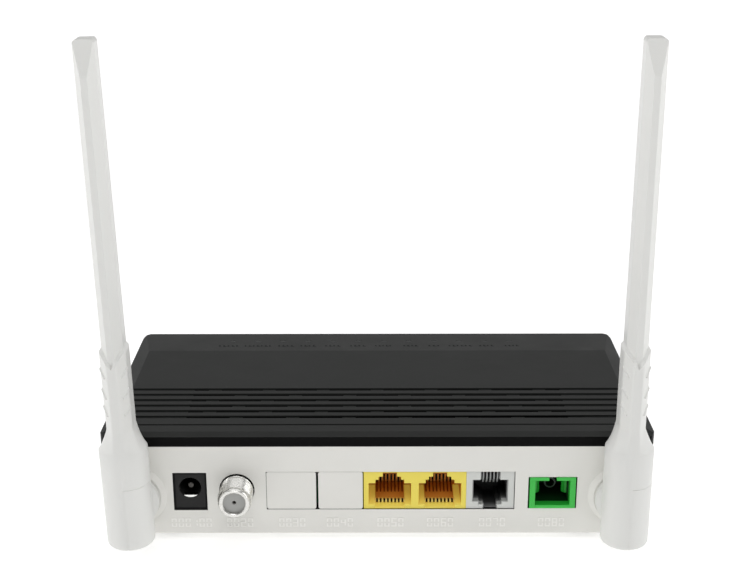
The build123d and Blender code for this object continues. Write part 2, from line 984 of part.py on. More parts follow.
def optical_sleeve():
    tube = rod_y(optical_sleeve_r, optical_x, optical_z, optical_sleeve_start, optical_length)
    y0 = optical_sleeve_start - 1
    return tube - rod_y(optical_sleeve_bore_r, optical_x, optical_z, y0, optical_length - past)


def optical_module():
    """The transceiver behind the adapter: a metal block with two round cans."""
    y0 = optical_length
    y1 = optical_length + module_length
    x0 = optical_x - module_half_width
    x1 = optical_x + module_half_width
    body_end = y1 - module_can_length
    body = block(x0, x1, y0, body_end, board_top, optical_z + module_rise)
    body += rod_y(module_can_r, optical_x, optical_z, body_end, y1)
    side_x = optical_x - module_side_reach
    return body + rod_x(module_side_can_r, y0 + module_side_can_y, optical_z, side_x, x0)


# ---------------------------------------------------------------- buttons
def side_button(r, y, reach):
    """A round plunger through the right wall, with a flange that keeps it in."""
    inner_face = half_width - shell_wall
    knob_x = tab_reach - switch_edge_gap + switch_knob_reach
    x0 = knob_x + button_travel + button_switch_gap
    flange_x = inner_face - button_flange_gap
    body = rod_x(r, y, button_z, x0, reach)
    return body + rod_x(r + button_flange_lap, y, button_z, flange_x - button_flange, flange_x)


def wps_button():
    body = side_button(wps_r, wps_y, half_width + wps_stand_out)
    return fillet(body.faces().sort_by(Axis.X)[-1].edges(), wps_edge_r)


def reset_button():
    return side_button(reset_r, reset_y, half_width - reset_recess)


# ---------------------------------------------------------------- antenna
def antenna_section(half_x, front_half, front, side_front, side_back, back_half, back, z):
    """An eight-sided upright section at height z, about the antenna's own axis."""
    right = [
        (front_half, -front),
        (half_x, -side_front),
        (half_x, side_back),
        (back_half, back),
    ]
    points = right + [(-x, y) for x, y in reversed(right)]
    return make_face(Polyline(*[(x, antenna_y + y, z) for x, y in points], close=True))


def collar_section(z):
    sizes = [collar_half_width, collar_front_half, collar_front, collar_side_front]
    sizes += [collar_side_back, collar_back_half, collar_back]
    return antenna_section(*sizes, z)


def blade_section(z, grow=0):
    """The blade's section, which narrows with height."""
    share = (z - blade_seat) / (blade_top - blade_seat)
    scale = 1 - (1 - blade_taper) * share
    sizes = [blade_half_width, blade_front_half, blade_front, blade_side_front]
    sizes += [blade_side_back, blade_back_half, blade_back]
    return antenna_section(*[size * scale + grow for size in sizes], z)


def antenna_outside():
    """Barrel, flare and collar as one solid, before it is hollowed and split."""
    round_x = barrel_r - barrel_bottom_r
    round_z = barrel_bottom + barrel_bottom_r
    profile = [
        Line((0, 0, barrel_bottom), (round_x, 0, barrel_bottom)),
        quarter_arc((round_x, 0, barrel_bottom), (barrel_r, 0, round_z), (round_x, 0, round_z)),
        Line((barrel_r, 0, round_z), (barrel_r, 0, barrel_top)),
        Line((barrel_r, 0, barrel_top), (flare_r, 0, flare_z)),
        Line((flare_r, 0, flare_z), (collar_half_width, 0, neck_z)),
        Line((collar_half_width, 0, neck_z), (0, 0, neck_z)),
        Line((0, 0, neck_z), (0, 0, barrel_bottom)),
    ]
    turned = revolve(make_face(Wire(profile)), axis=Axis.Z)
    body = Pos(0, antenna_y, 0) * turned
    collar = extrude(collar_section(flare_z - 2), amount=collar_top - flare_z + 2, dir=(0, 0, 1))
    notch_x = collar_half_width + 1
    notch_z = collar_dip + notch_rise * notch_x
    notch = [(0, collar_dip), (notch_x, notch_z), (notch_x, collar_top + past)]
    notch += [(-notch_x, collar_top + past), (-notch_x, notch_z)]
    collar -= front_prism(notch, antenna_y - 10, antenna_y + 10)
    return body + collar


def grip_lines():
    """Slanted lines cut in both sides of the collar, in line with its notched rim."""
    lines = None
    for z in grip_line_z:
        for side in (-1, 1):
            cut = Box(grip_line_depth * 2, 4 * barrel_r, grip_line_width)
            place = Pos(side * collar_half_width, antenna_y, z)
            piece = place * Rot(0, -side * grip_line_lean, 0) * cut
            lines = piece if lines is None else lines + piece
    return lines


def cable_path_void():
    """The room for the cable: through the hub, round the barrel and up the neck."""
    room = Pos(0, antenna_y, 0) * Pos(0, 0, (cavity_floor + cavity_top) / 2)
    void = room * Cylinder(cavity_r, cavity_top - cavity_floor)
    void += rod_z(cable_bore_r, 0, antenna_y, cavity_top - past, blade_seat + past)
    void += rod_y(cable_bore_r, 0, swivel_z, antenna_y, spigot_end_y + past)
    return void


def cap_region():
    """The half of the barrel, on its right and below cap_top, that the cap fills."""
    reach = barrel_r + past
    return block(0, reach, antenna_y - reach, antenna_y + reach, 0, cap_top)


def hub():
    """The disc against the panel's dome, and the spigot that turns in the panel."""
    y1 = -dome_height - hub_gap
    body = rod_y(hub_r, 0, swivel_z, y1 - hub_thickness, y1)
    body += rod_y(spigot_r, 0, swivel_z, y1 - hub_thickness, clip_near_y)
    body += rod_y(clip_neck_r, 0, swivel_z, clip_near_y, clip_near_y + clip_thickness)
    body += rod_y(spigot_r, 0, swivel_z, clip_near_y + clip_thickness, spigot_end_y)
    return body


def antenna_base():
    body = antenna_outside() - cap_region() + hub()
    body -= grip_lines()
    body -= cable_path_void()
    pocket = [blade_section(blade_seat, blade_fit), blade_section(collar_top + 2, blade_fit)]
    return body - loft(pocket)


def antenna_cap():
    return (antenna_outside() & cap_region()) - hub() - cable_path_void()


def antenna_blade():
    body = loft([blade_section(blade_seat), blade_section(blade_top)])
    top_front = antenna_y - blade_front * blade_taper
    top_side = antenna_y - blade_side_front * blade_taper
    slope = tip_drop / (top_side - top_front)
    reach = tip_overcut
    tip = [
        (top_front - reach, blade_top - tip_drop - slope * reach),
        (top_side + reach, blade_top + slope * reach),
        (top_front - reach, blade_top + slope * reach),
    ]
    body -= side_prism(tip, -barrel_r, barrel_r)
    corner_x = blade_half_width * blade_taper - tip_corner_r
    corner_z = blade_top - tip_corner_r
    for side in (-1, 1):
        x0, x1 = sorted((side * corner_x, side * (corner_x + 2 * tip_corner_r)))
        near, far = antenna_y - barrel_r, antenna_y + barrel_r
        corner = block(x0, x1, near, far, corner_z, blade_top + past)
        body -= corner - rod_y(tip_corner_r, side * corner_x, corner_z, near - past, far + past)
    half_x = core_width / 2 + core_clearance
    half_y = core_thickness / 2 + core_clearance
    y0 = antenna_y - half_y
    y1 = antenna_y + half_y
    return body - block(-half_x, half_x, y0, y1, blade_seat - past, core_top + core_clearance)


def antenna_core():
    half_x = core_width / 2
    half_y = core_thickness / 2
    y0 = antenna_y - half_y
    y1 = antenna_y + half_y
    return block(-half_x, half_x, y0, y1, blade_seat + core_seat, core_top)


def antenna_feed():
    """The moving stretch of the aerial cable, along the swivel's axis and up the neck."""
    bend_y = antenna_y + cable_bend_r
    bend_z = swivel_z + cable_bend_r
    start = (0, spigot_end_y + cable_feed_reach, swivel_z)
    run = Line(start, (0, bend_y, swivel_z))
    bend = quarter_arc((0, bend_y, swivel_z), (0, antenna_y, bend_z), (0, bend_y, bend_z))
    rise = Line((0, antenna_y, bend_z), (0, antenna_y, blade_seat + core_seat))
    profile = Plane(origin=start, z_dir=(0, -1, 0)) * Circle(cable_r)
    return sweep(profile, path=Wire([run, bend, rise]))


def antenna_clip():
    """The open ring that snaps into the spigot's groove behind the panel."""
    y1 = clip_near_y + clip_thickness
    ring = rod_y(clip_r, 0, swivel_z, clip_near_y, y1)
    ring -= rod_y(clip_neck_r, 0, swivel_z, clip_near_y - past, y1 + past)
    half = clip_neck_r * clip_mouth_share
    return ring - block(-half, half, clip_near_y - past, y1 + past, swivel_z, swivel_z + clip_r + past)


# ---------------------------------------------------------------- aerial cables inside the case
def left_cable():
    start_y = spigot_end_y + cable_feed_reach + cable_meet_gap
    points = [
        (-antenna_x, start_y, swivel_z),
        (-antenna_x, start_y + cable_first_run, swivel_z),
        (-antenna_x + cable_turn_x, start_y + cable_turn_y, swivel_z - cable_turn_drop),
        (plug_x - cable_near_x, plug_y - cable_near_y, plug_cable_z + cable_near_rise),
        (plug_x - cable_end_x, plug_y - cable_end_y, plug_cable_z),
    ]
    cable = tube_along(points, cable_r)
    return cable - rod_z(plug_r, plug_x, plug_y, board_top, board_top + plug_height)


def aerial_plugs():
    return [
        rod_z(plug_r, x, plug_y, board_top, board_top + plug_height) for x in (plug_x, -plug_x)
    ]


# ---------------------------------------------------------------- write every part
def save(name, shape):
    """Write one part, moved to the stored frame."""
    pieces = shape if isinstance(shape, list) else [shape]
    moved = [Pos(0, centre_shift, 0) * piece for piece in pieces]
    solids = [solid for piece in moved for solid in piece.solids()]
    whole = solids[0] if len(solids) == 1 else Compound(children=solids)
    whole.label = name
    export_step(whole, os.path.join("parts", name + ".step"))


def main():
    os.makedirs("parts", exist_ok=True)
    lower = lower_case()
    save("bottom_shell", lower - panel_slab())
    save("socket_panel", lower & panel_slab())
    save("top_cover", top_cover())
    save("rubber_feet", rubber_feet())
    save("rating_label", label_block())
    save("case_screws", case_screws())
    save("main_board", main_board())
    save("board_screws", board_screws())
    save("power_jack", power_jack())
    save("power_jack_pin", power_jack_pin())
    save("coax_connector", coax_connector())
    save("coax_insulator", coax_insulator())
    save("coax_contact", coax_contact())
    outer_x0 = opening_x0 + opening_gap
    outer_x1 = outer_x0 + blank_outer_width
    inner_x0 = outer_x1 + blank_spacing
    save("port_blank_outer", port_blank(outer_x0, outer_x1))
    save("port_blank_inner", port_blank(inner_x0, inner_x0 + blank_inner_width))
    save("lan_jack", lan_jack())
    save("lan_contacts", lan_contacts())
    save("phone_jack", phone_jack())
    save("phone_contacts", phone_contacts())
    save("optical_adapter", optical_adapter())
    save("optical_sleeve", optical_sleeve())
    save("optical_module", optical_module())
    save("tuner_shield", tuner_shield())
    save("wifi_shield", shield_can(*wifi_can_size))
    processor = on_board(
        processor_x, processor_y, processor_size, processor_size, processor_height
    )
    save("processor", processor)
    save("heatsink", heatsink())
    save("memory_chips", memory_chips())
    save("lan_transformers", lan_transformers())
    save("capacitors", capacitors())
    save("inductors", inductors())
    save("indicator_leds", indicator_leds())
    save("light_guide", light_guide())
    save("push_switches", push_switches())
    save("wps_button", wps_button())
    save("reset_button", reset_button())
    cable = left_cable()
    save("left_aerial_cable", cable)
    save("right_aerial_cable", mirror(cable, about=Plane.YZ))
    save("aerial_plugs", aerial_plugs())
    pieces = {
        "base": antenna_base(),
        "cap": antenna_cap(),
        "blade": antenna_blade(),
        "core": antenna_core(),
        "feed": antenna_feed(),
        "clip": antenna_clip(),
    }
    for side, x, lean in (("left", -antenna_x, left_antenna_lean), ("right", antenna_x, 0)):
        place = Pos(x, 0, swivel_z) * Rot(0, -lean, 0) * Pos(0, 0, -swivel_z)
        for name, shape in pieces.items():
            save(side + "_antenna_" + name, place * shape)


main()
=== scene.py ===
"""Looks of the optical network terminal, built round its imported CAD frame. Metres."""
import json
import math

import bmesh
import bpy
from mathutils import Matrix, Vector
from mathutils.bvhtree import BVHTree


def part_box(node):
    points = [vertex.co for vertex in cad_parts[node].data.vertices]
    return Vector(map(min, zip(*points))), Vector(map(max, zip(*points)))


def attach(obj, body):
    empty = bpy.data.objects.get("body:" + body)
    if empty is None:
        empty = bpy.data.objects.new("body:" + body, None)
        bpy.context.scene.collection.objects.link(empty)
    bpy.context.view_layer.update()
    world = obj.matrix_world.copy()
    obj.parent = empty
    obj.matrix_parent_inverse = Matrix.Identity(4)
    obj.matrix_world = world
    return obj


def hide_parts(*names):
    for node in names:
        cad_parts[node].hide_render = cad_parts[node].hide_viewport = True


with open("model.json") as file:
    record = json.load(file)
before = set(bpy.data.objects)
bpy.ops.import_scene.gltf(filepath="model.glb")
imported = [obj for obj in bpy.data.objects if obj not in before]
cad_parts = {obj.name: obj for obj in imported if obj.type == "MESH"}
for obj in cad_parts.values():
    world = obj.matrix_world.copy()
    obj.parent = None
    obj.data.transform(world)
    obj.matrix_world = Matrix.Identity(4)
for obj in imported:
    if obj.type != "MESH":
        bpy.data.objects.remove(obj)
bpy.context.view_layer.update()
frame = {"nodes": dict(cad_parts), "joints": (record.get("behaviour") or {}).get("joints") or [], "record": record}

MM = 0.001
case_low, case_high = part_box("top_cover")
panel_y = case_low.y
cover_roof = case_high.z


# ------------------------------------------------------------------ colours and materials
def srgb(text):
    """Linear colour of a #rrggbb text."""
    values = [int(text[i:i + 2], 16) / 255 for i in (1, 3, 5)]
    linear = [v / 12.92 if v <= 0.04045 else ((v + 0.055) / 1.055) ** 2.4 for v in values]
    return (*linear, 1.0)


def shade(color, factor):
    """A colour made lighter or darker."""
    return (*[min(c * factor, 1.0) for c in color[:3]], 1.0)


class Nodes:
    """A new material with a Principled shader, and short calls for its nodes."""

    def __init__(self, name):
        self.material = bpy.data.materials.new(name)
        self.material.use_nodes = True
        self.tree = self.material.node_tree
        self.tree.nodes.clear()
        self.out = self.add("ShaderNodeOutputMaterial")
        self.shader = self.add("ShaderNodeBsdfPrincipled")
        self.link(self.shader, "BSDF", self.out, "Surface")
        self.place = self.add("ShaderNodeTexCoord")

    def add(self, kind, **settings):
        node = self.tree.nodes.new(kind)
        for key, value in settings.items():
            setattr(node, key, value)
        return node

    def link(self, source, output, target, socket):
        self.tree.links.new(source.outputs[output], target.inputs[socket])

    def set(self, **sockets):
        for name, value in sockets.items():
            self.shader.inputs[name.replace("_", " ")].default_value = value

    def noise(self, scale, detail=3.0, rough=0.55, stretch=None):
        """A noise texture in object space, in features per metre."""
        node = self.add("ShaderNodeTexNoise")
        node.inputs["Scale"].default_value = scale
        node.inputs["Detail"].default_value = detail
        node.inputs["Roughness"].default_value = rough
        if stretch:
            mapping = self.add("ShaderNodeMapping")
            mapping.inputs["Scale"].default_value = stretch
            self.link(self.place, "Object", mapping, "Vector")
            self.link(mapping, "Vector", node, "Vector")
        else:
            self.link(self.place, "Object", node, "Vector")
        return node

    def ramp(self, source, output, stops):
        """A colour ramp from (position, colour) stops."""
        node = self.add("ShaderNodeValToRGB")
        while len(node.color_ramp.elements) < len(stops):
            node.color_ramp.elements.new(0.5)
        for element, (position, color) in zip(node.color_ramp.elements, stops):
            element.position = position
            element.color = color
        self.link(source, output, node, "Fac")
        return node

    def range(self, source, output, low, high):
        """Maps the noise's usual range to low to high."""
        node = self.add("ShaderNodeMapRange")
        node.inputs["From Min"].default_value = NOISE_LOW
        node.inputs["From Max"].default_value = NOISE_HIGH
        node.inputs["To Min"].default_value = low
        node.inputs["To Max"].default_value = high
        self.link(source, output, node, "Value")
        return node

    def bump(self, layers):
        """Bump from (node, output, strength, distance) layers, one over the other."""
        last = None
        for source, output, strength, distance in layers:
            node = self.add("ShaderNodeBump")
            node.inputs["Strength"].default_value = strength
            node.inputs["Distance"].default_value = distance
            self.link(source, output, node, "Height")
            if last:
                self.link(last, "Normal", node, "Normal")
            last = node
        self.link(last, "Normal", self.shader, "Normal")


NOISE_LOW, NOISE_HIGH = 0.3, 0.7
DULLER, GLOSSIER = 0.05, 0.04
FLOW_BUMP, GRAIN_BUMP = 0.0002, 0.00003
# Depth in millimetres over which the sockets' painted shade deepens
SHADE_DEPTH = 12


def moulded(name, color, rough, grain=5200, depth=0.25, mottle=0.03, wave=0.12, **sockets):
    """Moulded plastic: spark-eroded grain, slow flow mottling and uneven gloss."""
    nodes = Nodes(name)
    slow = nodes.noise(60, detail=4.0)
    stops = [(NOISE_LOW, shade(color, 1 - mottle)), (NOISE_HIGH, shade(color, 1 + mottle))]
    tint = nodes.ramp(slow, "Fac", stops)
    nodes.link(tint, "Color", nodes.shader, "Base Color")
    fine = nodes.noise(grain, detail=2.0)
    gloss = nodes.range(slow, "Fac", rough - GLOSSIER, rough + DULLER)
    nodes.link(gloss, "Result", nodes.shader, "Roughness")
    nodes.bump([(slow, "Fac", wave, FLOW_BUMP), (fine, "Fac", depth, GRAIN_BUMP)])
    nodes.set(**sockets)
    return nodes.material


def metal(name, color, rough, streak=(1.0, 1.0, 1.0), depth=0.2, scale=900):
    """Plated or turned metal with faint streaks and uneven polish."""
    nodes = Nodes(name)
    wear = nodes.noise(scale, detail=5.0, stretch=streak)
    tint = nodes.ramp(wear, "Fac", [(NOISE_LOW, shade(color, 0.82)), (NOISE_HIGH, color)])
    nodes.link(tint, "Color", nodes.shader, "Base Color")
    gloss = nodes.range(wear, "Fac", rough * 0.7, rough * 1.4)
    nodes.link(gloss, "Result", nodes.shader, "Roughness")
    nodes.bump([(wear, "Fac", depth, 0.00004)])
    nodes.set(Metallic=1.0)
    return nodes.material


def laminate():
    """Green solder mask with copper tracks showing through and a woven core."""
    nodes = Nodes("board_laminate")
    mask = srgb("#0f5a2c")
    tracks = nodes.add("ShaderNodeTexBrick")
    tracks.inputs["Scale"].default_value = 260
    tracks.inputs["Mortar Size"].default_value = 0.035
    tracks.inputs["Color1"].default_value = mask
    tracks.inputs["Color2"].default_value = shade(mask, 0.75)
    tracks.inputs["Mortar"].default_value = shade(mask, 1.7)
    nodes.link(nodes.place, "Object", tracks, "Vector")
    nodes.link(tracks, "Color", nodes.shader, "Base Color")
    weave = nodes.noise(2400, detail=1.0)
    nodes.bump([(tracks, "Fac", 0.3, 0.00004), (weave, "Fac", 0.15, 0.00002)])
    nodes.set(Roughness=0.32)
    return nodes.material


def painted_depth_shade(name, colors, rough=0.4):
    """Moulded plastic with painted shade: its colour darkens with the depth behind the panel's face, standing in
    for the shade inside the sockets.
    """
    nodes = Nodes(name)
    parts = nodes.add("ShaderNodeSeparateXYZ")
    nodes.link(nodes.place, "Object", parts, "Vector")
    slow = nodes.noise(60, detail=4.0)
    depth = nodes.add("ShaderNodeMapRange")
    depth.inputs["From Min"].default_value = panel_y
    depth.inputs["From Max"].default_value = panel_y + SHADE_DEPTH * MM
    nodes.link(parts, "Y", depth, "Value")
    stops = [(place / SHADE_DEPTH, srgb(text)) for place, text in colors]
    # The ramp paints shade that darkens with depth
    tint = nodes.ramp(depth, "Result", stops)
    nodes.link(tint, "Color", nodes.shader, "Base Color")
    gloss = nodes.range(slow, "Fac", rough - GLOSSIER, rough + DULLER)
    nodes.link(gloss, "Result", nodes.shader, "Roughness")
    fine = nodes.noise(4600, detail=2.0)
    nodes.bump([(slow, "Fac", 0.12, FLOW_BUMP), (fine, "Fac", 0.2, GRAIN_BUMP)])
    return nodes.material


WHITE = srgb("#e6e5e0")
MATERIALS = {
    "white_shell": moulded("white_shell", WHITE, 0.46, depth=0.2, mottle=0.012),
    "antenna_white": moulded(
        "antenna_white", srgb("#dfdfdc"), 0.34, depth=0.05, mottle=0.01, wave=0.01,
        Specular_IOR_Level=0.3,
    ),
    # Lighter copy of the white shell: painted highlight on the raised numbers
    "numbers_painted_highlight": moulded("numbers_painted_highlight", srgb("#f3f2ee"), 0.5, depth=0.1, mottle=0.01),
    # The glow stands for light that passes through the yellow plastic
    "lit_yellow": moulded(
        "lit_yellow", srgb("#fff27c"), 0.34, depth=0.2, mottle=0.03,
        Emission_Color=srgb("#efdc58"), Emission_Strength=0.22,
    ),
    "black_cover": moulded(
        "black_cover", srgb("#262726"), 0.48, depth=0.45, mottle=0.06, Specular_IOR_Level=0.28
    ),
    # Near-black painted shade for the cover's upright band and the walls of its slots
    "cover_painted_shade": moulded(
        "cover_painted_shade", srgb("#0a0a0a"), 0.5, depth=0.3, mottle=0.06, Specular_IOR_Level=0.06
    ),
    "foot_rubber": moulded("foot_rubber", srgb("#202020"), 0.85, grain=3000, depth=0.5),
    "label_film": moulded("label_film", srgb("#d8d8d5"), 0.3, grain=1500, depth=0.05),
    "screw_steel": metal("screw_steel", srgb("#b9b9bb"), 0.3),
    "board_laminate": laminate(),
    "dark_plastic": moulded(
        "dark_plastic", srgb("#232323"), 0.5, depth=0.3, mottle=0.05, Specular_IOR_Level=0.2
    ),
    # Near-black painted shade for the walls of the panel's openings, the board's front edge, the power jack's
    # border and the network sockets' slots
    "black_painted_shade": moulded(
        "black_painted_shade", srgb("#0b0c0c"), 0.55, depth=0.3, mottle=0.05, Specular_IOR_Level=0.15
    ),
    "plated_contact": metal("plated_contact", srgb("#f0f0ee"), 0.2),
    "nickel": metal("nickel", srgb("#e2e1dd"), 0.24, scale=1600, depth=0.3),
    "pale_insulator": moulded("pale_insulator", srgb("#a5a5a2"), 0.5, grain=4000, depth=0.3),
    # Dark dull metal: painted shade for the coaxial socket's contact deep in its hole
    "contact_painted_shade": metal("contact_painted_shade", srgb("#4a4238"), 0.4),
    "gold_contact": metal("gold_contact", srgb("#8a5a26"), 0.42),
    "yellow_plastic": moulded("yellow_plastic", srgb("#efdc58"), 0.34, depth=0.2, mottle=0.04),
    # Amber copy of the yellow: painted shade on the network sockets' beds
    "bed_painted_shade": moulded("bed_painted_shade", srgb("#e6a646"), 0.4, depth=0.2, mottle=0.06),
    # Yellow painted darker and browner with depth: painted shade inside the network sockets
    "socket_yellow_painted_shade": painted_depth_shade(
        "socket_yellow_painted_shade", [(0.0, "#efdc58"), (0.9, "#efdc58"), (2.0, "#e6a83a"), (4.0, "#d8903a")]
    ),
    # Paler copy of the yellow: painted highlight on the network sockets' comb ribs
    "comb_painted_highlight": moulded("comb_painted_highlight", srgb("#fbe884"), 0.36, depth=0.2, mottle=0.04),
    # Grey darkening to black with depth: painted shade inside the telephone socket
    "phone_walls_painted_shade": painted_depth_shade(
        "phone_walls_painted_shade", [(0.0, "#a6a7a6"), (1.2, "#8c8d8c"), (4.0, "#3c3d3c"), (9.0, "#101010")]
    ),
    # Grey darkening to black with depth: painted shade on the telephone socket's ribs
    "phone_comb_painted_shade": painted_depth_shade(
        "phone_comb_painted_shade", [(0.0, "#a0a1a0"), (1.5, "#828382"), (4.0, "#585958"), (9.0, "#1c1c1c")]
    ),
    # Dark metal: painted shade for the power jack's pin deep in its bore
    "pin_painted_shade": metal("pin_painted_shade", srgb("#4a4846"), 0.2),
    "grey_plastic": moulded("grey_plastic", srgb("#d2d4d0"), 0.42, depth=0.25, mottle=0.03),
    "green_plastic": moulded("green_plastic", srgb("#2fbc40"), 0.34, depth=0.2, mottle=0.04),
    # Dark copy of the green: painted shade inside the optical adapter
    "green_painted_shade": moulded(
        "green_painted_shade", srgb("#0d3316"), 0.4, depth=0.15, mottle=0.06, Specular_IOR_Level=0.3
    ),
    # Dark green for the sleeve: painted shade on the adapter's inner barrel deep in its socket
    "ceramic": moulded("ceramic", srgb("#1c3a26"), 0.3, depth=0.1),
    "tinned_can": metal("tinned_can", srgb("#c3c3c1"), 0.38, streak=(1, 6, 1)),
    "chip_epoxy": moulded("chip_epoxy", srgb("#1d1d1f"), 0.55, depth=0.4),
    "anodised_sink": metal("anodised_sink", srgb("#303033"), 0.45, streak=(1, 8, 1)),
    "capacitor_sleeve": moulded("capacitor_sleeve", srgb("#22222a"), 0.3, depth=0.1),
    "ferrite": moulded("ferrite", srgb("#3a3a3c"), 0.7, depth=0.6),
    "led_lens": moulded("led_lens", srgb("#e6e6d8"), 0.2, depth=0.05),
    "clear_guide": moulded("clear_guide", srgb("#3a3c3b"), 0.22, depth=0.05),
    "button_white": moulded("button_white", WHITE, 0.46, depth=0.22, mottle=0.012),
    "cable_jacket": moulded("cable_jacket", srgb("#262626"), 0.5, depth=0.15),
    "printed_mark": moulded(
        "printed_mark", srgb("#1b1c1c"), 0.6, depth=0.1, Specular_IOR_Level=0.1
    ),
}

slot_of = {part["node"]: part["material_slot"] for part in frame["record"]["subparts"]}
for node_name, node in frame["nodes"].items():
    node.data.materials.clear()
    node.data.materials.append(MATERIALS[slot_of[node_name]])


def tone(name, material, chosen):
    """Gives a second material to a CAD node's faces that chosen(centre, normal) picks."""
    mesh = frame["nodes"][name].data
    mesh.materials.append(MATERIALS[material])
    for face in mesh.polygons:
        if chosen(face.center, face.normal):
            face.material_index = 1


FACING, UPRIGHT, SIDEWAYS = 0.9, 0.2, 0.1
BAND_REACH = 1.5 * MM
GROOVE_FLOOR = 0.9 * MM
SLOTS_HALF_WIDTH = 62 * MM
SLOTS_START, SLOTS_END = 6 * MM, 28 * MM
HOLES_HALF_WIDTH = 58 * MM
HOLES_LOW, HOLES_HIGH = 8 * MM, 22 * MM
HOLE_WALL = 0.1 * MM, 1.8 * MM


def band_or_slot(centre, normal):
    """The cover's upright band over the sockets and the walls of the slots through it, which are painted
    near-black as shade.
    """
    near = normal.y < -FACING and centre.y < panel_y + BAND_REACH
    low_enough = centre.z < cover_roof - GROOVE_FLOOR
    walled = abs(normal.z) < UPRIGHT and abs(centre.x) < SLOTS_HALF_WIDTH and low_enough
    return near or (walled and panel_y + SLOTS_START < centre.y < panel_y + SLOTS_END)


def hole_wall(centre, normal):
    """The walls of the socket panel's openings between its two ends, which are painted black as shade."""
    start, end = HOLE_WALL
    inside = panel_y + start < centre.y < panel_y + end and abs(normal.y) < SIDEWAYS
    return inside and abs(centre.x) < HOLES_HALF_WIDTH and HOLES_LOW < centre.z < HOLES_HIGH


tone("top_cover", "cover_painted_shade", band_or_slot)
tone("socket_panel", "black_painted_shade", hole_wall)
# The network sockets take the yellow with painted shade that deepens inside them
frame["nodes"]["lan_jack"].data.materials[0] = MATERIALS["socket_yellow_painted_shade"]
lan_low, lan_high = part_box("lan_jack")
tone(
    "lan_jack", "lit_yellow",
    lambda centre, normal: normal.z > FACING and centre.z < (lan_low.z + lan_high.z) / 2,
)
# The board's front edge, where it shows between the blanks, is painted black as shade
tone("main_board", "black_painted_shade", lambda centre, normal: normal.y < -FACING)
# The coaxial contact is painted dark as shade in its hole
frame["nodes"]["coax_contact"].data.materials[0] = MATERIALS["contact_painted_shade"]
# The power jack's pin is painted dark as shade in its bore
frame["nodes"]["power_jack_pin"].data.materials[0] = MATERIALS["pin_painted_shade"]


# ------------------------------------------------------------------ mesh helpers
def piece_from(name, bm, body, slot, smooth=None, look=None):
    """Makes a piece of a bmesh on its body, with look as its material if given, and else the slot's material."""
    bmesh.ops.remove_doubles(bm, verts=bm.verts, dist=1e-7)
    bmesh.ops.recalc_face_normals(bm, faces=bm.faces)
    mesh = bpy.data.meshes.new(name)
    bm.to_mesh(mesh)
    bm.free()
    mesh.materials.append(MATERIALS[look or slot])
    piece = bpy.data.objects.new(name, mesh)
    bpy.context.scene.collection.objects.link(piece)
    if smooth:
        mesh.polygons.foreach_set("use_smooth", [True] * len(mesh.polygons))
        mesh.set_sharp_from_angle(angle=math.radians(smooth))
    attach(piece, body)
    return piece


def add_prism(bm, outline, along, start, end):
    """A closed prism of a 2D outline. along is 'x', 'y' or 'z'; the outline's two
    coordinates are the other two axes, in order."""
    def point(a, b, t):
        return {"x": (t, a, b), "y": (a, t, b), "z": (a, b, t)}[along]
    rings = [[bm.verts.new(point(a, b, t)) for a, b in outline] for t in (start, end)]
    count = len(outline)
    for i in range(count):
        j = (i + 1) % count
        bm.faces.new((rings[0][i], rings[0][j], rings[1][j], rings[1][i]))
    bm.faces.new(rings[0])
    bm.faces.new(rings[1][::-1])


def add_box(bm, x0, x1, y0, y1, z0, z1):
    add_prism(bm, [(x0, z0), (x1, z0), (x1, z1), (x0, z1)], "y", y0, y1)


def bevelled(bm, width, segments=2):
    """Rounds every edge of the solids in a bmesh."""
    bmesh.ops.bevel(
        bm, geom=bm.edges[:], offset=width, segments=segments, affect="EDGES", profile=0.6
    )


def add_turned(bm, profile, x, z, around=64, start=0.0, turn=math.tau):
    """Turns a profile of (radius, y) points about the line through x and z along Y."""
    whole = abs(turn - math.tau) < 1e-6
    steps = around if whole else around + 1
    rings = []
    for i in range(steps):
        angle = start + turn * i / around
        across, up = math.cos(angle), math.sin(angle)
        rings.append([bm.verts.new((x + r * across, y, z + r * up)) for r, y in profile])
    for i in range(around):
        ring, after = rings[i], rings[(i + 1) % steps]
        for a, b, c, d in zip(ring, ring[1:], after[1:], after):
            bm.faces.new((a, b, c, d))


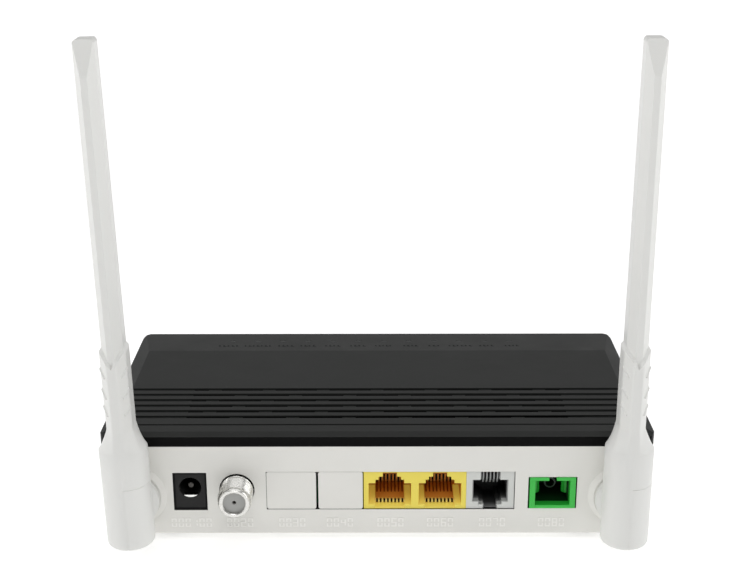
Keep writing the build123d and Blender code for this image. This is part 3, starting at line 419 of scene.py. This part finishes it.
# ------------------------------------------------------------------ coaxial connector
def coax_shell():
    """The threaded barrel, its rim and its base, in place of the plain CAD form."""
    low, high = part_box("coax_connector")
    thread_low, thread_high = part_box("coax_insulator")
    x = (thread_low.x + thread_high.x) / 2
    z = (thread_low.z + thread_high.z) / 2
    bore = (thread_high.x - thread_low.x) / 2
    major, minor, base_r, lip = 4.75 * MM, 4.42 * MM, 4.6 * MM, 3.98 * MM
    pitch = 0.794 * MM
    front = low.y
    panel = panel_y + 2 * MM
    root = panel_y - 0.9 * MM
    thread_start = front + 1.1 * MM
    bm = bmesh.new()
    around, per_turn = 96, 8
    rows = int((root - thread_start) / pitch * per_turn)
    grid = []
    for i in range(around):
        angle = math.tau * i / around
        column = []
        for j in range(rows + 1):
            y = thread_start + (root - thread_start) * j / rows
            phase = ((y - thread_start) / pitch - i / around) % 1.0
            tooth = 1 - abs(2 * phase - 1)
            fade = min(1.0, j / per_turn, (rows - j) / per_turn)
            r = minor + (major - minor) * (tooth ** 0.8 * fade)
            column.append(bm.verts.new((x + r * math.cos(angle), y, z + r * math.sin(angle))))
        grid.append(column)
    for i in range(around):
        here, after = grid[i], grid[(i + 1) % around]
        for a, b, c, d in zip(here, here[1:], after[1:], after):
            bm.faces.new((a, b, c, d))
    nose = [(minor, thread_start), (minor, front + 0.62 * MM), (lip + 0.12 * MM, front + 0.1 * MM)]
    nose += [(lip, front), (bore + 0.25 * MM, front), (bore, front + 0.2 * MM), (bore, panel)]
    add_turned(bm, nose, x, z, around)
    tail = [(minor, root), (base_r, root + 0.25 * MM), (base_r, panel)]
    add_turned(bm, tail, x, z, around)
    base = bmesh.new()
    add_box(base, low.x, high.x, panel, high.y, low.z, high.z)
    bevelled(base, 0.3 * MM)
    base_mesh = bpy.data.meshes.new("coax_base")
    base.to_mesh(base_mesh)
    base.free()
    bm.from_mesh(base_mesh)
    piece = piece_from("coax_barrel", bm, "root", "nickel", smooth=35)
    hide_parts("coax_connector")


# ------------------------------------------------------------------ power jack
def power_jack_details():
    """The sprung contact along the bottom of the power jack's bore, and a near-black border round its face,
    painted shade for the gap round it.
    """
    pin_low, pin_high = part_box("power_jack_pin")
    low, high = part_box("power_jack")
    x = (pin_low.x + pin_high.x) / 2
    z = (pin_low.z + pin_high.z) / 2
    radius, half = 3.0 * MM, math.radians(39)
    angles = [-math.pi / 2 + half * (i / 6 - 1) for i in range(13)]
    outline = [(x + radius * math.cos(a), z + radius * math.sin(a)) for a in angles]
    leaf = bmesh.new()
    leaf_start, leaf_end = low.y + 0.15 * MM, low.y + 1.9 * MM
    add_prism(leaf, outline, "y", leaf_start, leaf_end)
    piece_from("power_leaf", leaf, "root", "plated_contact")
    # A thin near-black frame on the jack's face: painted shade for the gap round it
    edge, proud = 0.42 * MM, 0.06 * MM
    border = bmesh.new()
    y0, y1 = low.y - proud, low.y
    add_box(border, low.x, high.x, y0, y1, low.z, low.z + edge)
    add_box(border, low.x, high.x, y0, y1, high.z - edge, high.z)
    add_box(border, low.x, low.x + edge, y0, y1, low.z + edge, high.z - edge)
    add_box(border, high.x - edge, high.x, y0, y1, low.z + edge, high.z - edge)
    piece_from("power_shade_border", border, "root", "dark_plastic", look="black_painted_shade")


# ------------------------------------------------------------------ network sockets
SOCKET_PITCH = 13.97 * MM


def socket_centres():
    """The X of each network socket, from its contacts."""
    low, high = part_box("lan_contacts")
    middle = (low.x + high.x) / 2
    half_pitch = SOCKET_PITCH / 2
    return [middle - half_pitch, middle + half_pitch]


def lan_combs():
    """Each network socket's comb, the sloping bed under its contacts and black boxes in its wire slots. The comb's
    ribs are painted paler than the yellow as a highlight, the bed is painted amber as shade, and the black boxes
    are painted shade.
    """
    low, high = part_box("lan_contacts")
    floor = low.z
    start, back = panel_y + 2.8 * MM, high.y + 0.3 * MM
    comb_end = start + 1.3 * MM
    pitch, rib = 1.02 * MM, 0.5 * MM
    rear_top = floor + 1.9 * MM
    slot_top = floor + 4.35 * MM
    half = 4.05 * MM
    ribs, bed, slots = bmesh.new(), bmesh.new(), bmesh.new()
    for centre in socket_centres():
        for i in range(9):
            x = centre + (i - 4) * pitch
            outline = [(start, floor), (start, floor + 0.85 * MM)]
            outline += [(start + 0.3 * MM, floor + 1.1 * MM)]
            outline += [(comb_end, floor + 1.15 * MM), (comb_end, floor)]
            add_prism(ribs, outline, "x", x - rib / 2, x + rib / 2)
            add_box(bed, x - rib / 2, x + rib / 2, back - 0.5 * MM, back, rear_top, slot_top)
        slope = [(comb_end, floor), (comb_end, floor + 0.95 * MM), (back, rear_top), (back, floor)]
        add_prism(bed, slope, "x", centre - half, centre + half)
        for i in range(8):
            x = centre + (i - 3.5) * pitch
            top = slot_top - (0.0, 0.0, 0.55, 1.1)[int(abs(i - 3.5))] * MM
            slot = 0.26 * MM
            add_box(slots, x - slot, x + slot, back - 0.35 * MM, back, top - 1.9 * MM, top)
            add_box(slots, x - slot, x + slot, start + 0.6 * MM, comb_end, floor, floor + 0.9 * MM)
    piece_from("lan_ribs", ribs, "root", "yellow_plastic", look="comb_painted_highlight")
    piece_from("lan_bed", bed, "root", "yellow_plastic", look="bed_painted_shade")
    piece_from("lan_slot_shade", slots, "root", "dark_plastic", look="black_painted_shade")


# ------------------------------------------------------------------ telephone socket
def phone_liner():
    """The telephone socket's lining and its ribs, with painted shade: grey at the mouth, darkening to black
    inside.
    """
    low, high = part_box("phone_jack")
    x = (low.x + high.x) / 2
    front = low.y + 0.55 * MM
    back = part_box("phone_contacts")[1].y
    skin = 0.25 * MM
    top = high.z
    levels = [(5.5, 2.6), (9.9, 6.7), (6.5, 0.9), (3.9, 1.3)]
    bm = bmesh.new()
    z = top
    previous = None
    for width, height in levels:
        half = width * MM / 2
        z_low = z - height * MM
        for side in (-1, 1):
            edge = x + side * half
            inner = edge - side * skin
            add_box(bm, min(edge, inner), max(edge, inner), front, back, z_low, z)
        if previous is not None and previous > half:
            for side in (-1, 1):
                a, b = x + side * half, x + side * previous
                add_box(bm, min(a, b), max(a, b), front + 1.6 * MM, back, z, z + skin)
        if previous is not None and previous < half:
            for side in (-1, 1):
                a, b = x + side * half, x + side * previous
                add_box(bm, min(a, b), max(a, b), front, back, z - skin, z)
        previous = half
        z = z_low
    add_box(bm, x - 4.95 * MM, x + 4.95 * MM, back - skin, back, z, top - 2.6 * MM)
    add_box(bm, x - 1.95 * MM, x + 1.95 * MM, front + 0.3 * MM, back, low.z, low.z + skin)
    piece_from("phone_liner", bm, "root", "dark_plastic", look="phone_walls_painted_shade")
    ribs = bmesh.new()
    pitch, rib_half = 0.98 * MM, 0.19 * MM
    for i in range(5):
        rib_x = x + (i - 2) * pitch
        outline = [(front, top - 0.35 * MM), (back, top - 0.35 * MM), (back, top - 4.9 * MM)]
        outline += [(front + 1.8 * MM, top - 4.4 * MM), (front, top - 2.4 * MM)]
        add_prism(ribs, outline, "x", rib_x - rib_half, rib_x + rib_half)
    piece_from("phone_ribs", ribs, "root", "dark_plastic", look="phone_comb_painted_shade")


# ------------------------------------------------------------------ optical socket
def optical_inside():
    """The two latch arms inside the optical adapter, and a dark green lining inside it as painted shade."""
    low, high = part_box("optical_adapter")
    x = (low.x + high.x) / 2
    z = (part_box("optical_sleeve")[0].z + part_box("optical_sleeve")[1].z) / 2
    arms = bmesh.new()
    start, end = panel_y + 4.2 * MM, panel_y + 12.5 * MM
    for side in (-1, 1):
        catch = [(3.9, 0.0), (3.1, 0.9), (3.1, 1.8), (3.8, 2.4)]
        outline = [(x + side * across * MM, start + along * MM) for across, along in catch]
        outline += [(x + side * 3.8 * MM, end), (x + side * 4.5 * MM, end)]
        outline += [(x + side * 4.5 * MM, start)]
        add_prism(arms, outline, "z", z - 2.2 * MM, z + 2.6 * MM)
    piece_from("optical_latches", arms, "root", "green_plastic")
    half_x, half_z, skin = 4.78 * MM, 3.73 * MM, 0.12 * MM
    y0, y1 = panel_y + 2.2 * MM, panel_y + 12.65 * MM
    lining = bmesh.new()
    add_box(lining, x - half_x, x + half_x, y0, y1, z - half_z, z - half_z + skin)
    add_box(lining, x - half_x, x + half_x, y0, y1, z + half_z - skin, z + half_z)
    for side in (-1, 1):
        edges = sorted((x + side * half_x, x + side * (half_x - skin)))
        add_box(lining, *edges, y0 + 0.6 * MM, y1, z - half_z + skin, z + half_z - skin)
    add_box(lining, x - half_x, x + half_x, y1 - skin, y1, z - half_z + skin, z + half_z - skin)
    piece_from("optical_shade_lining", lining, "root", "green_plastic", look="green_painted_shade")


# ------------------------------------------------------------------ antennas
def softened_ring(corners, reach=0.4 * MM, curve=4, splits=6):
    """A closed outline with its corners rounded and its sides split evenly."""
    ring = []
    count = len(corners)
    for i, corner in enumerate(corners):
        before = (corners[i - 1] - corner).normalized()
        after_corner = corners[(i + 1) % count]
        after = (after_corner - corner).normalized()
        a, b = corner + before * reach, corner + after * reach
        for j in range(curve + 1):
            t = j / curve
            ring.append(a * (1 - t) ** 2 + corner * 2 * t * (1 - t) + b * t ** 2)
        turn = (corners[i] - after_corner).normalized()
        end = after_corner + turn * reach
        ring += [b.lerp(end, j / splits) for j in range(1, splits)]
    return ring


def eight_sides(half_x, front_half, front, side_front, side_back, back_half, back):
    """The corners of a section, in order round it, from sizes in millimetres."""
    right = [(front_half, -front), (half_x, -side_front), (half_x, side_back), (back_half, back)]
    corners = right + [(-x, y) for x, y in reversed(right)]
    return [Vector((x * MM, y * MM)) for x, y in corners]


# Sections, in millimetres
COLLAR = eight_sides(3.5, 1.3, 5.6, 2.2, 3.2, 2.3, 5.2)
BLADE_HALF_WIDTH, BLADE_FRONT, BLADE_SIDE_FRONT = 2.9, 4.8, 1.6
BLADE = eight_sides(BLADE_HALF_WIDTH, 0.9, BLADE_FRONT, BLADE_SIDE_FRONT, 3.0, 1.9, 4.5)
GRIP_LINES, GRIP_SLANT = (56.2, 50.4, 45.5), 1.1

# Sizes in metres, from the antenna's own axis and the table
BARREL_R, BARREL_CORNER, BARREL_FOOT = 6.5 * MM, 1.3 * MM, 5.0 * MM
SEAM_Z, SEAM_DEPTH = 23.5 * MM, 0.13 * MM
SHOULDER_Z, NECK_Z = 33.4 * MM, 40.4 * MM
SHOULDER_PUSH, SHOULDER_CURVE = 1.08, 0.8
COLLAR_DIP, NOTCH_RISE = 58.6 * MM, 1.18
COLLAR_LIP, COLLAR_INSIDE = (1.8 * MM, 0.9 * MM), 51 * MM
COLLAR_HOLE = 0.985
HUB_NEAR, HUB_FACE, HUB_RIM = 2.0 * MM, 7.2 * MM, 2.7 * MM
HUB_R, HUB_EDGE = 7.3 * MM, 0.5 * MM
SPIGOT_R, SPIGOT_END = 4.0 * MM, 12.9 * MM
CLIP_GROOVE_R, CLIP_GROOVE = 3.2 * MM, (11.0 * MM, 11.7 * MM)
BLADE_FOOT, BLADE_TOP, BLADE_TAPER = 50.2 * MM, 142 * MM, 0.93
TIP_DROP, TIP_CORNER = 8.5 * MM, 1.0 * MM


def swivel_place(side):
    """The X, Y and Z of an antenna's swivel joint."""
    joint = next(j for j in frame["joints"] if j["name"] == side + "_antenna_swivel")
    return joint["pos_m"]


def antenna_place(side):
    """The matrix that stands an antenna drawn about its own axis, lean included."""
    swivel = Vector(swivel_place(side))
    core = frame["nodes"][side + "_antenna_core"].data.vertices
    heights = [v.co.z for v in core]
    middle = (min(heights) + max(heights)) / 2
    upper = [v.co for v in core if v.co.z > middle]
    lower = [v.co for v in core if v.co.z <= middle]
    rise = sum(upper, Vector()) / len(upper) - sum(lower, Vector()) / len(lower)
    lean = Matrix.Rotation(math.atan2(rise.x, rise.z), 4, "Y")
    cap_low, cap_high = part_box(side + "_antenna_cap")
    axis_y = (cap_low.y + cap_high.y) / 2
    shift = Matrix.Translation((0, axis_y - swivel.y, -swivel.z))
    return Matrix.Translation(swivel) @ lean @ shift


def bridge_rings(bm, rings):
    """Faces between rings of vertices, one ring after another."""
    for ring, following in zip(rings, rings[1:]):
        count = len(ring)
        for i in range(count):
            j = (i + 1) % count
            bm.faces.new((ring[i], ring[j], following[j], following[i]))


def antenna_housing(side):
    """Barrel, shoulder and collar in one smooth skin, with the cap's seam and the hub."""
    outline = softened_ring(COLLAR)
    hole = softened_ring([c * COLLAR_HOLE for c in BLADE])
    directions = [p.normalized() for p in outline]
    bm = bmesh.new()

    def ring_at(point_of):
        return [bm.verts.new(point_of(i)) for i in range(len(outline))]

    def round_ring(radius, z, groove=0.0):
        def point(i):
            dent = 0.0
            if directions[i].x > 0.02:
                dent = groove
            if abs(directions[i].x) <= 0.02 and z < SEAM_Z:
                dent = SEAM_DEPTH
            return (*(directions[i] * (radius - dent)), z)
        return ring_at(point)

    rings = []
    for step in range(9):
        angle = math.pi / 2 * step / 8
        radius = BARREL_R - BARREL_CORNER + BARREL_CORNER * math.sin(angle)
        rings.append(round_ring(radius, BARREL_FOOT + BARREL_CORNER * (1 - math.cos(angle))))
    rings.append(round_ring(BARREL_R, SEAM_Z - SEAM_DEPTH))
    rings.append(round_ring(BARREL_R, SEAM_Z, SEAM_DEPTH))
    rings.append(round_ring(BARREL_R, SEAM_Z + SEAM_DEPTH))
    for step in range(21):
        t = step / 20
        share = min(1.0, SHOULDER_PUSH * t ** SHOULDER_CURVE) if t < 1 else 1.0
        z = SHOULDER_Z + (NECK_Z - SHOULDER_Z) * t
        blend = [(d * BARREL_R).lerp(p, share) for d, p in zip(directions, outline)]
        rings.append(ring_at(lambda i: (*blend[i], z)))

    def rim(i, points, drop):
        x = abs(outline[i].x)
        return (*points[i], COLLAR_DIP + NOTCH_RISE * x - drop)

    for drop in COLLAR_LIP:
        rings.append(ring_at(lambda i: rim(i, outline, drop)))
    rings.append(ring_at(lambda i: rim(i, hole, 0)))
    rings.append(ring_at(lambda i: (*hole[i], COLLAR_INSIDE)))
    bridge_rings(bm, rings)
    bm.faces.new(rings[0])
    bm.faces.new(rings[-1])
    groove_start, groove_end = CLIP_GROOVE
    rim_y = HUB_FACE - HUB_RIM
    profile = [(0, HUB_NEAR), (SPIGOT_R, HUB_NEAR), (HUB_R - HUB_EDGE, rim_y)]
    profile += [(HUB_R, rim_y + HUB_EDGE), (HUB_R, HUB_FACE - HUB_EDGE)]
    profile += [(HUB_R - HUB_EDGE, HUB_FACE), (SPIGOT_R, HUB_FACE), (SPIGOT_R, groove_start)]
    profile += [(CLIP_GROOVE_R, groove_start), (CLIP_GROOVE_R, groove_end)]
    profile += [(SPIGOT_R, groove_end), (SPIGOT_R, SPIGOT_END), (0, SPIGOT_END)]
    add_turned(bm, profile, 0, swivel_place(side)[2], 72)
    bm.transform(antenna_place(side))
    piece = piece_from(side + "_antenna_housing", bm, side + "_antenna", "antenna_white", smooth=40)
    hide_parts(side + "_antenna_base", side + "_antenna_cap")


def antenna_grips(side):
    """Three slanted ridges on each side of the collar."""
    bm = bmesh.new()
    for z in GRIP_LINES:
        for hand in (-1, 1):
            outer = Vector((hand * 3.5 * MM, -2.3 * MM, (z + GRIP_SLANT) * MM))
            inner = Vector((hand * 2.2 * MM, -4.3 * MM, (z - GRIP_SLANT) * MM))
            out = Vector((hand * 0.8, -0.6, 0)) * 0.3 * MM
            up = Vector((0, 0, 0.42 * MM))
            section = (-out - up * 0.6, out - up * 0.3, -out * 0.6 + up)
            ends = [[bm.verts.new(end + move) for move in section] for end in (outer, inner)]
            bridge_rings(bm, ends)
            for ring in ends:
                bm.faces.new(ring)
    bm.transform(antenna_place(side))
    piece_from(side + "_antenna_grips", bm, side + "_antenna", "antenna_white")


def cut_away(bm, place, normal):
    """Cuts a convex solid by a plane and closes it. The normal points to what goes."""
    cut = bmesh.ops.bisect_plane(
        bm, geom=bm.verts[:] + bm.edges[:] + bm.faces[:], plane_co=place, plane_no=normal,
        clear_outer=True,
    )
    edges = [e for e in cut["geom_cut"] if isinstance(e, bmesh.types.BMEdge)]
    bmesh.ops.contextual_create(bm, geom=edges)


def antenna_blade(side):
    """The tapering blade, with a steep facet at the front of its tip."""
    bm = bmesh.new()
    base = [bm.verts.new((*c, BLADE_FOOT)) for c in BLADE]
    head = [bm.verts.new((*(c * BLADE_TAPER), BLADE_TOP)) for c in BLADE]
    bridge_rings(bm, [base, head])
    bm.faces.new(base)
    bm.faces.new(head)
    front = -BLADE_FRONT * BLADE_TAPER * MM
    side_front = -BLADE_SIDE_FRONT * BLADE_TAPER * MM
    facet = Vector((0, -TIP_DROP, side_front - front)).normalized()
    cut_away(bm, (0, front, BLADE_TOP - TIP_DROP), facet)
    reach = BLADE_HALF_WIDTH * BLADE_TAPER * MM - TIP_CORNER
    for hand in (-1, 1):
        for step in (1, 2, 3):
            angle = math.radians(90 * step / 4)
            normal = Vector((hand * math.sin(angle), 0, math.cos(angle)))
            centre = Vector((hand * reach, 0, BLADE_TOP - TIP_CORNER))
            cut_away(bm, centre + normal * TIP_CORNER, normal)
    bmesh.ops.dissolve_degenerate(bm, dist=1e-6, edges=bm.edges[:])
    bm.transform(antenna_place(side))
    piece = piece_from(side + "_antenna_shell", bm, side + "_antenna", "antenna_white")
    bevel = piece.modifiers.new("radii", "BEVEL")
    bevel.width = 0.4 * MM
    bevel.segments = 3
    bevel.limit_method = "ANGLE"
    bevel.angle_limit = math.radians(14)
    bevel.harden_normals = True
    piece.data.polygons.foreach_set("use_smooth", [True] * len(piece.data.polygons))
    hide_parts(side + "_antenna_blade")


coax_shell()
power_jack_details()
lan_combs()
phone_liner()
optical_inside()
for hand_name in ("left", "right"):
    antenna_housing(hand_name)
    antenna_grips(hand_name)
    antenna_blade(hand_name)


# ------------------------------------------------------------------ numbers and marks
SEGMENTS = {
    "a": (0, 2, 1, 2), "b": (1, 1, 1, 2), "c": (1, 0, 1, 1), "d": (0, 0, 1, 0),
    "e": (0, 0, 0, 1), "f": (0, 1, 0, 2), "g": (0, 1, 1, 1),
}
DIGITS = ["abcdef", "bc", "abdeg", "abcdg", "bcfg", "acdfg", "acdefg", "abc", "abcdefg", "abcdfg"]


def panel_marks():
    """Raised numbers under the sockets, in strokes of one width, painted lighter than the panel as a highlight."""
    spans = [(-58.1, -46.1), (-42.5, -34.5), (-28.2, -19.5), (-15.0, -6.0)]
    spans += [(-0.9, 8.3), (13.4, 21.8), (28.0, 36.4), (44.8, 52.7)]
    low, width, height, stroke, proud = 4.7 * MM, 1.1 * MM, 1.15 * MM, 0.19 * MM, 0.12 * MM
    step = 1.95 * MM
    bm = bmesh.new()
    for number, (start, end) in enumerate(spans, 1):
        count = int((end - start) * MM / step)
        first = (start + end) / 2 * MM - (count * step - (step - width)) / 2
        for i in range(count):
            digit = number if i == count // 2 else 0
            x = first + i * step
            for name in DIGITS[digit]:
                x0, z0, x1, z1 = SEGMENTS[name]
                left, right = x + x0 * width - stroke, x + x1 * width + stroke
                bottom, top = low + z0 * height - stroke, low + z1 * height + stroke
                if x0 == x1:
                    bottom, top = bottom + 2 * stroke, top - 2 * stroke
                add_box(bm, left, right, panel_y - proud, panel_y, bottom, top)
    piece_from("panel_numbers", bm, "root", "white_shell", look="numbers_painted_highlight")


def strip_marks():
    """Small printed bars and squares on the cover's indicator strip."""
    spans = [(-50.3, -43.5), (-42.1, -33.1), (-31.4, -26.1), (-24.4, -19.1), (-16.5, -11.3)]
    spans += [(-8.5, -3.3), (-0.6, 5.1), (8.4, 13.4), (16.4, 20.6), (22.8, 30.6)]
    spans += [(32.6, 37.4), (40.7, 45.4)]
    near, far, ink = panel_y + 61.2 * MM, panel_y + 62.8 * MM, 0.02 * MM
    letter, filled, gap = 1.25, 0.8, 0.2 * MM
    mesh = frame["nodes"]["top_cover"].data
    corners = [v.co for v in mesh.vertices]
    surface = BVHTree.FromPolygons(corners, [p.vertices[:] for p in mesh.polygons])
    z = surface.ray_cast(Vector((0, (near + far) / 2, 0.1)), Vector((0, 0, -1)))[0].z
    bm = bmesh.new()
    for start, end in spans:
        count = max(2, round((end - start) / letter))
        step = (end - start) / count
        for i in range(count):
            x0 = (start + i * step) * MM
            x1 = x0 + step * filled * MM
            middle = near + (far - near) * (0.4, 0.6)[i % 2]
            add_box(bm, x0, x1, near, middle, z - ink, z + ink)
            add_box(bm, x0, (x0 + x1) / 2, middle + gap, far, z - ink, z + ink)
    piece_from("strip_marks", bm, "root", "black_cover", look="printed_mark")


# ------------------------------------------------------------------ edge rounding on CAD nodes
def soften(name, width, angle=30):
    """Small moulded radii on a CAD node's sharp edges."""
    node = frame["nodes"][name]
    weld = node.modifiers.new("weld", "WELD")
    weld.merge_threshold = 1e-6
    bevel = node.modifiers.new("radii", "BEVEL")
    bevel.width = width
    bevel.segments = 2
    bevel.limit_method = "ANGLE"
    bevel.angle_limit = math.radians(angle)
    bevel.use_clamp_overlap = True
    bevel.harden_normals = True


# ------------------------------------------------------------------ floor, light and camera
def floor():
    """A paper floor. It glows more further out, so that the background stays white."""
    bm = bmesh.new()
    half = 6.0
    corners = [(-half, -half, 0), (half, -half, 0), (half, half, 0), (-half, half, 0)]
    bm.faces.new([bm.verts.new(c) for c in corners])
    mesh = bpy.data.meshes.new("floor")
    bm.to_mesh(mesh)
    bm.free()
    nodes = Nodes("floor_paper")
    paper = nodes.noise(3, detail=2.0)
    stops = [(NOISE_LOW, (0.86, 0.86, 0.86, 1)), (NOISE_HIGH, (0.88, 0.88, 0.88, 1))]
    tint = nodes.ramp(paper, "Fac", stops)
    nodes.link(tint, "Color", nodes.shader, "Base Color")
    nodes.set(Roughness=0.95, Specular_IOR_Level=0.1)
    away = nodes.add("ShaderNodeVectorMath", operation="LENGTH")
    nodes.link(nodes.place, "Object", away, 0)
    glow = nodes.add("ShaderNodeMapRange")
    for name, value in (("From Min", 0.4), ("From Max", 2.0), ("To Min", 0.42), ("To Max", 1.1)):
        glow.inputs[name].default_value = value
    nodes.link(away, "Value", glow, "Value")
    nodes.link(glow, "Result", nodes.shader, "Emission Strength")
    nodes.set(Emission_Color=(1, 1, 1, 1))
    mesh.materials.append(nodes.material)
    piece = bpy.data.objects.new("floor", mesh)
    bpy.context.scene.collection.objects.link(piece)


def area_light(name, place, target, size, power):
    """A rectangular lamp at place that shines towards target."""
    light = bpy.data.lights.new(name, "AREA")
    light.shape = "RECTANGLE"
    light.size, light.size_y = size
    light.energy = power
    lamp = bpy.data.objects.new(name, light)
    lamp.location = place
    direction = Vector(target) - Vector(place)
    lamp.rotation_euler = direction.to_track_quat("-Z", "Y").to_euler()
    bpy.context.scene.collection.objects.link(lamp)


def studio():
    """A grey world and four soft lamps."""
    world = bpy.data.worlds.new("studio")
    world.use_nodes = True
    background = world.node_tree.nodes["Background"]
    background.inputs["Color"].default_value = (1, 1, 1, 1)
    background.inputs["Strength"].default_value = 0.34
    bpy.context.scene.world = world
    area_light("top", (0, 0.1, 1.2), (0, 0, 0), (1.6, 1.2), 4.6)
    area_light("front", (0, -0.85, 1.15), (0, 0, 0.1), (0.7, 0.3), 2.6)
    area_light("left", (-1.1, -0.15, 0.5), (0, 0, 0.08), (0.5, 0.9), 3.6)
    area_light("right", (1.1, -0.15, 0.5), (0, 0, 0.08), (0.5, 0.9), 3.6)


def camera():
    """The camera of the reference view: a slightly raised view of the sockets."""
    pitch, yaw, roll = [math.radians(a) for a in (18.964, -0.069, 0.107)]
    right = Vector((math.cos(yaw), -math.sin(yaw), 0))
    forward = Vector(
        (math.sin(yaw) * math.cos(pitch), math.cos(yaw) * math.cos(pitch), -math.sin(pitch))
    )
    down = forward.cross(right)
    side = right * math.cos(roll) + down * math.sin(roll)
    up = (right * math.sin(roll) - down * math.cos(roll))
    matrix = Matrix((side, up, -forward)).transposed().to_4x4()
    across, back, height = -0.000125, 0.33005, 0.18817
    matrix.translation = Vector((across, panel_y - back, height))
    data = bpy.data.cameras.new("camera")
    data.sensor_width = 36.0
    data.lens = 63.485
    data.clip_start = 0.01
    data.clip_end = 50.0
    lens = bpy.data.objects.new("camera", data)
    lens.matrix_world = matrix
    bpy.context.scene.collection.objects.link(lens)
    bpy.context.scene.camera = lens


for blank in ("port_blank_outer", "port_blank_inner"):
    soften(blank, 0.35 * MM)
for jack in ("lan_jack", "phone_jack", "power_jack", "optical_adapter"):
    soften(jack, 0.12 * MM)
panel_marks()
strip_marks()
floor()
studio()
camera()
bpy.context.scene.view_settings.view_transform = "Standard"
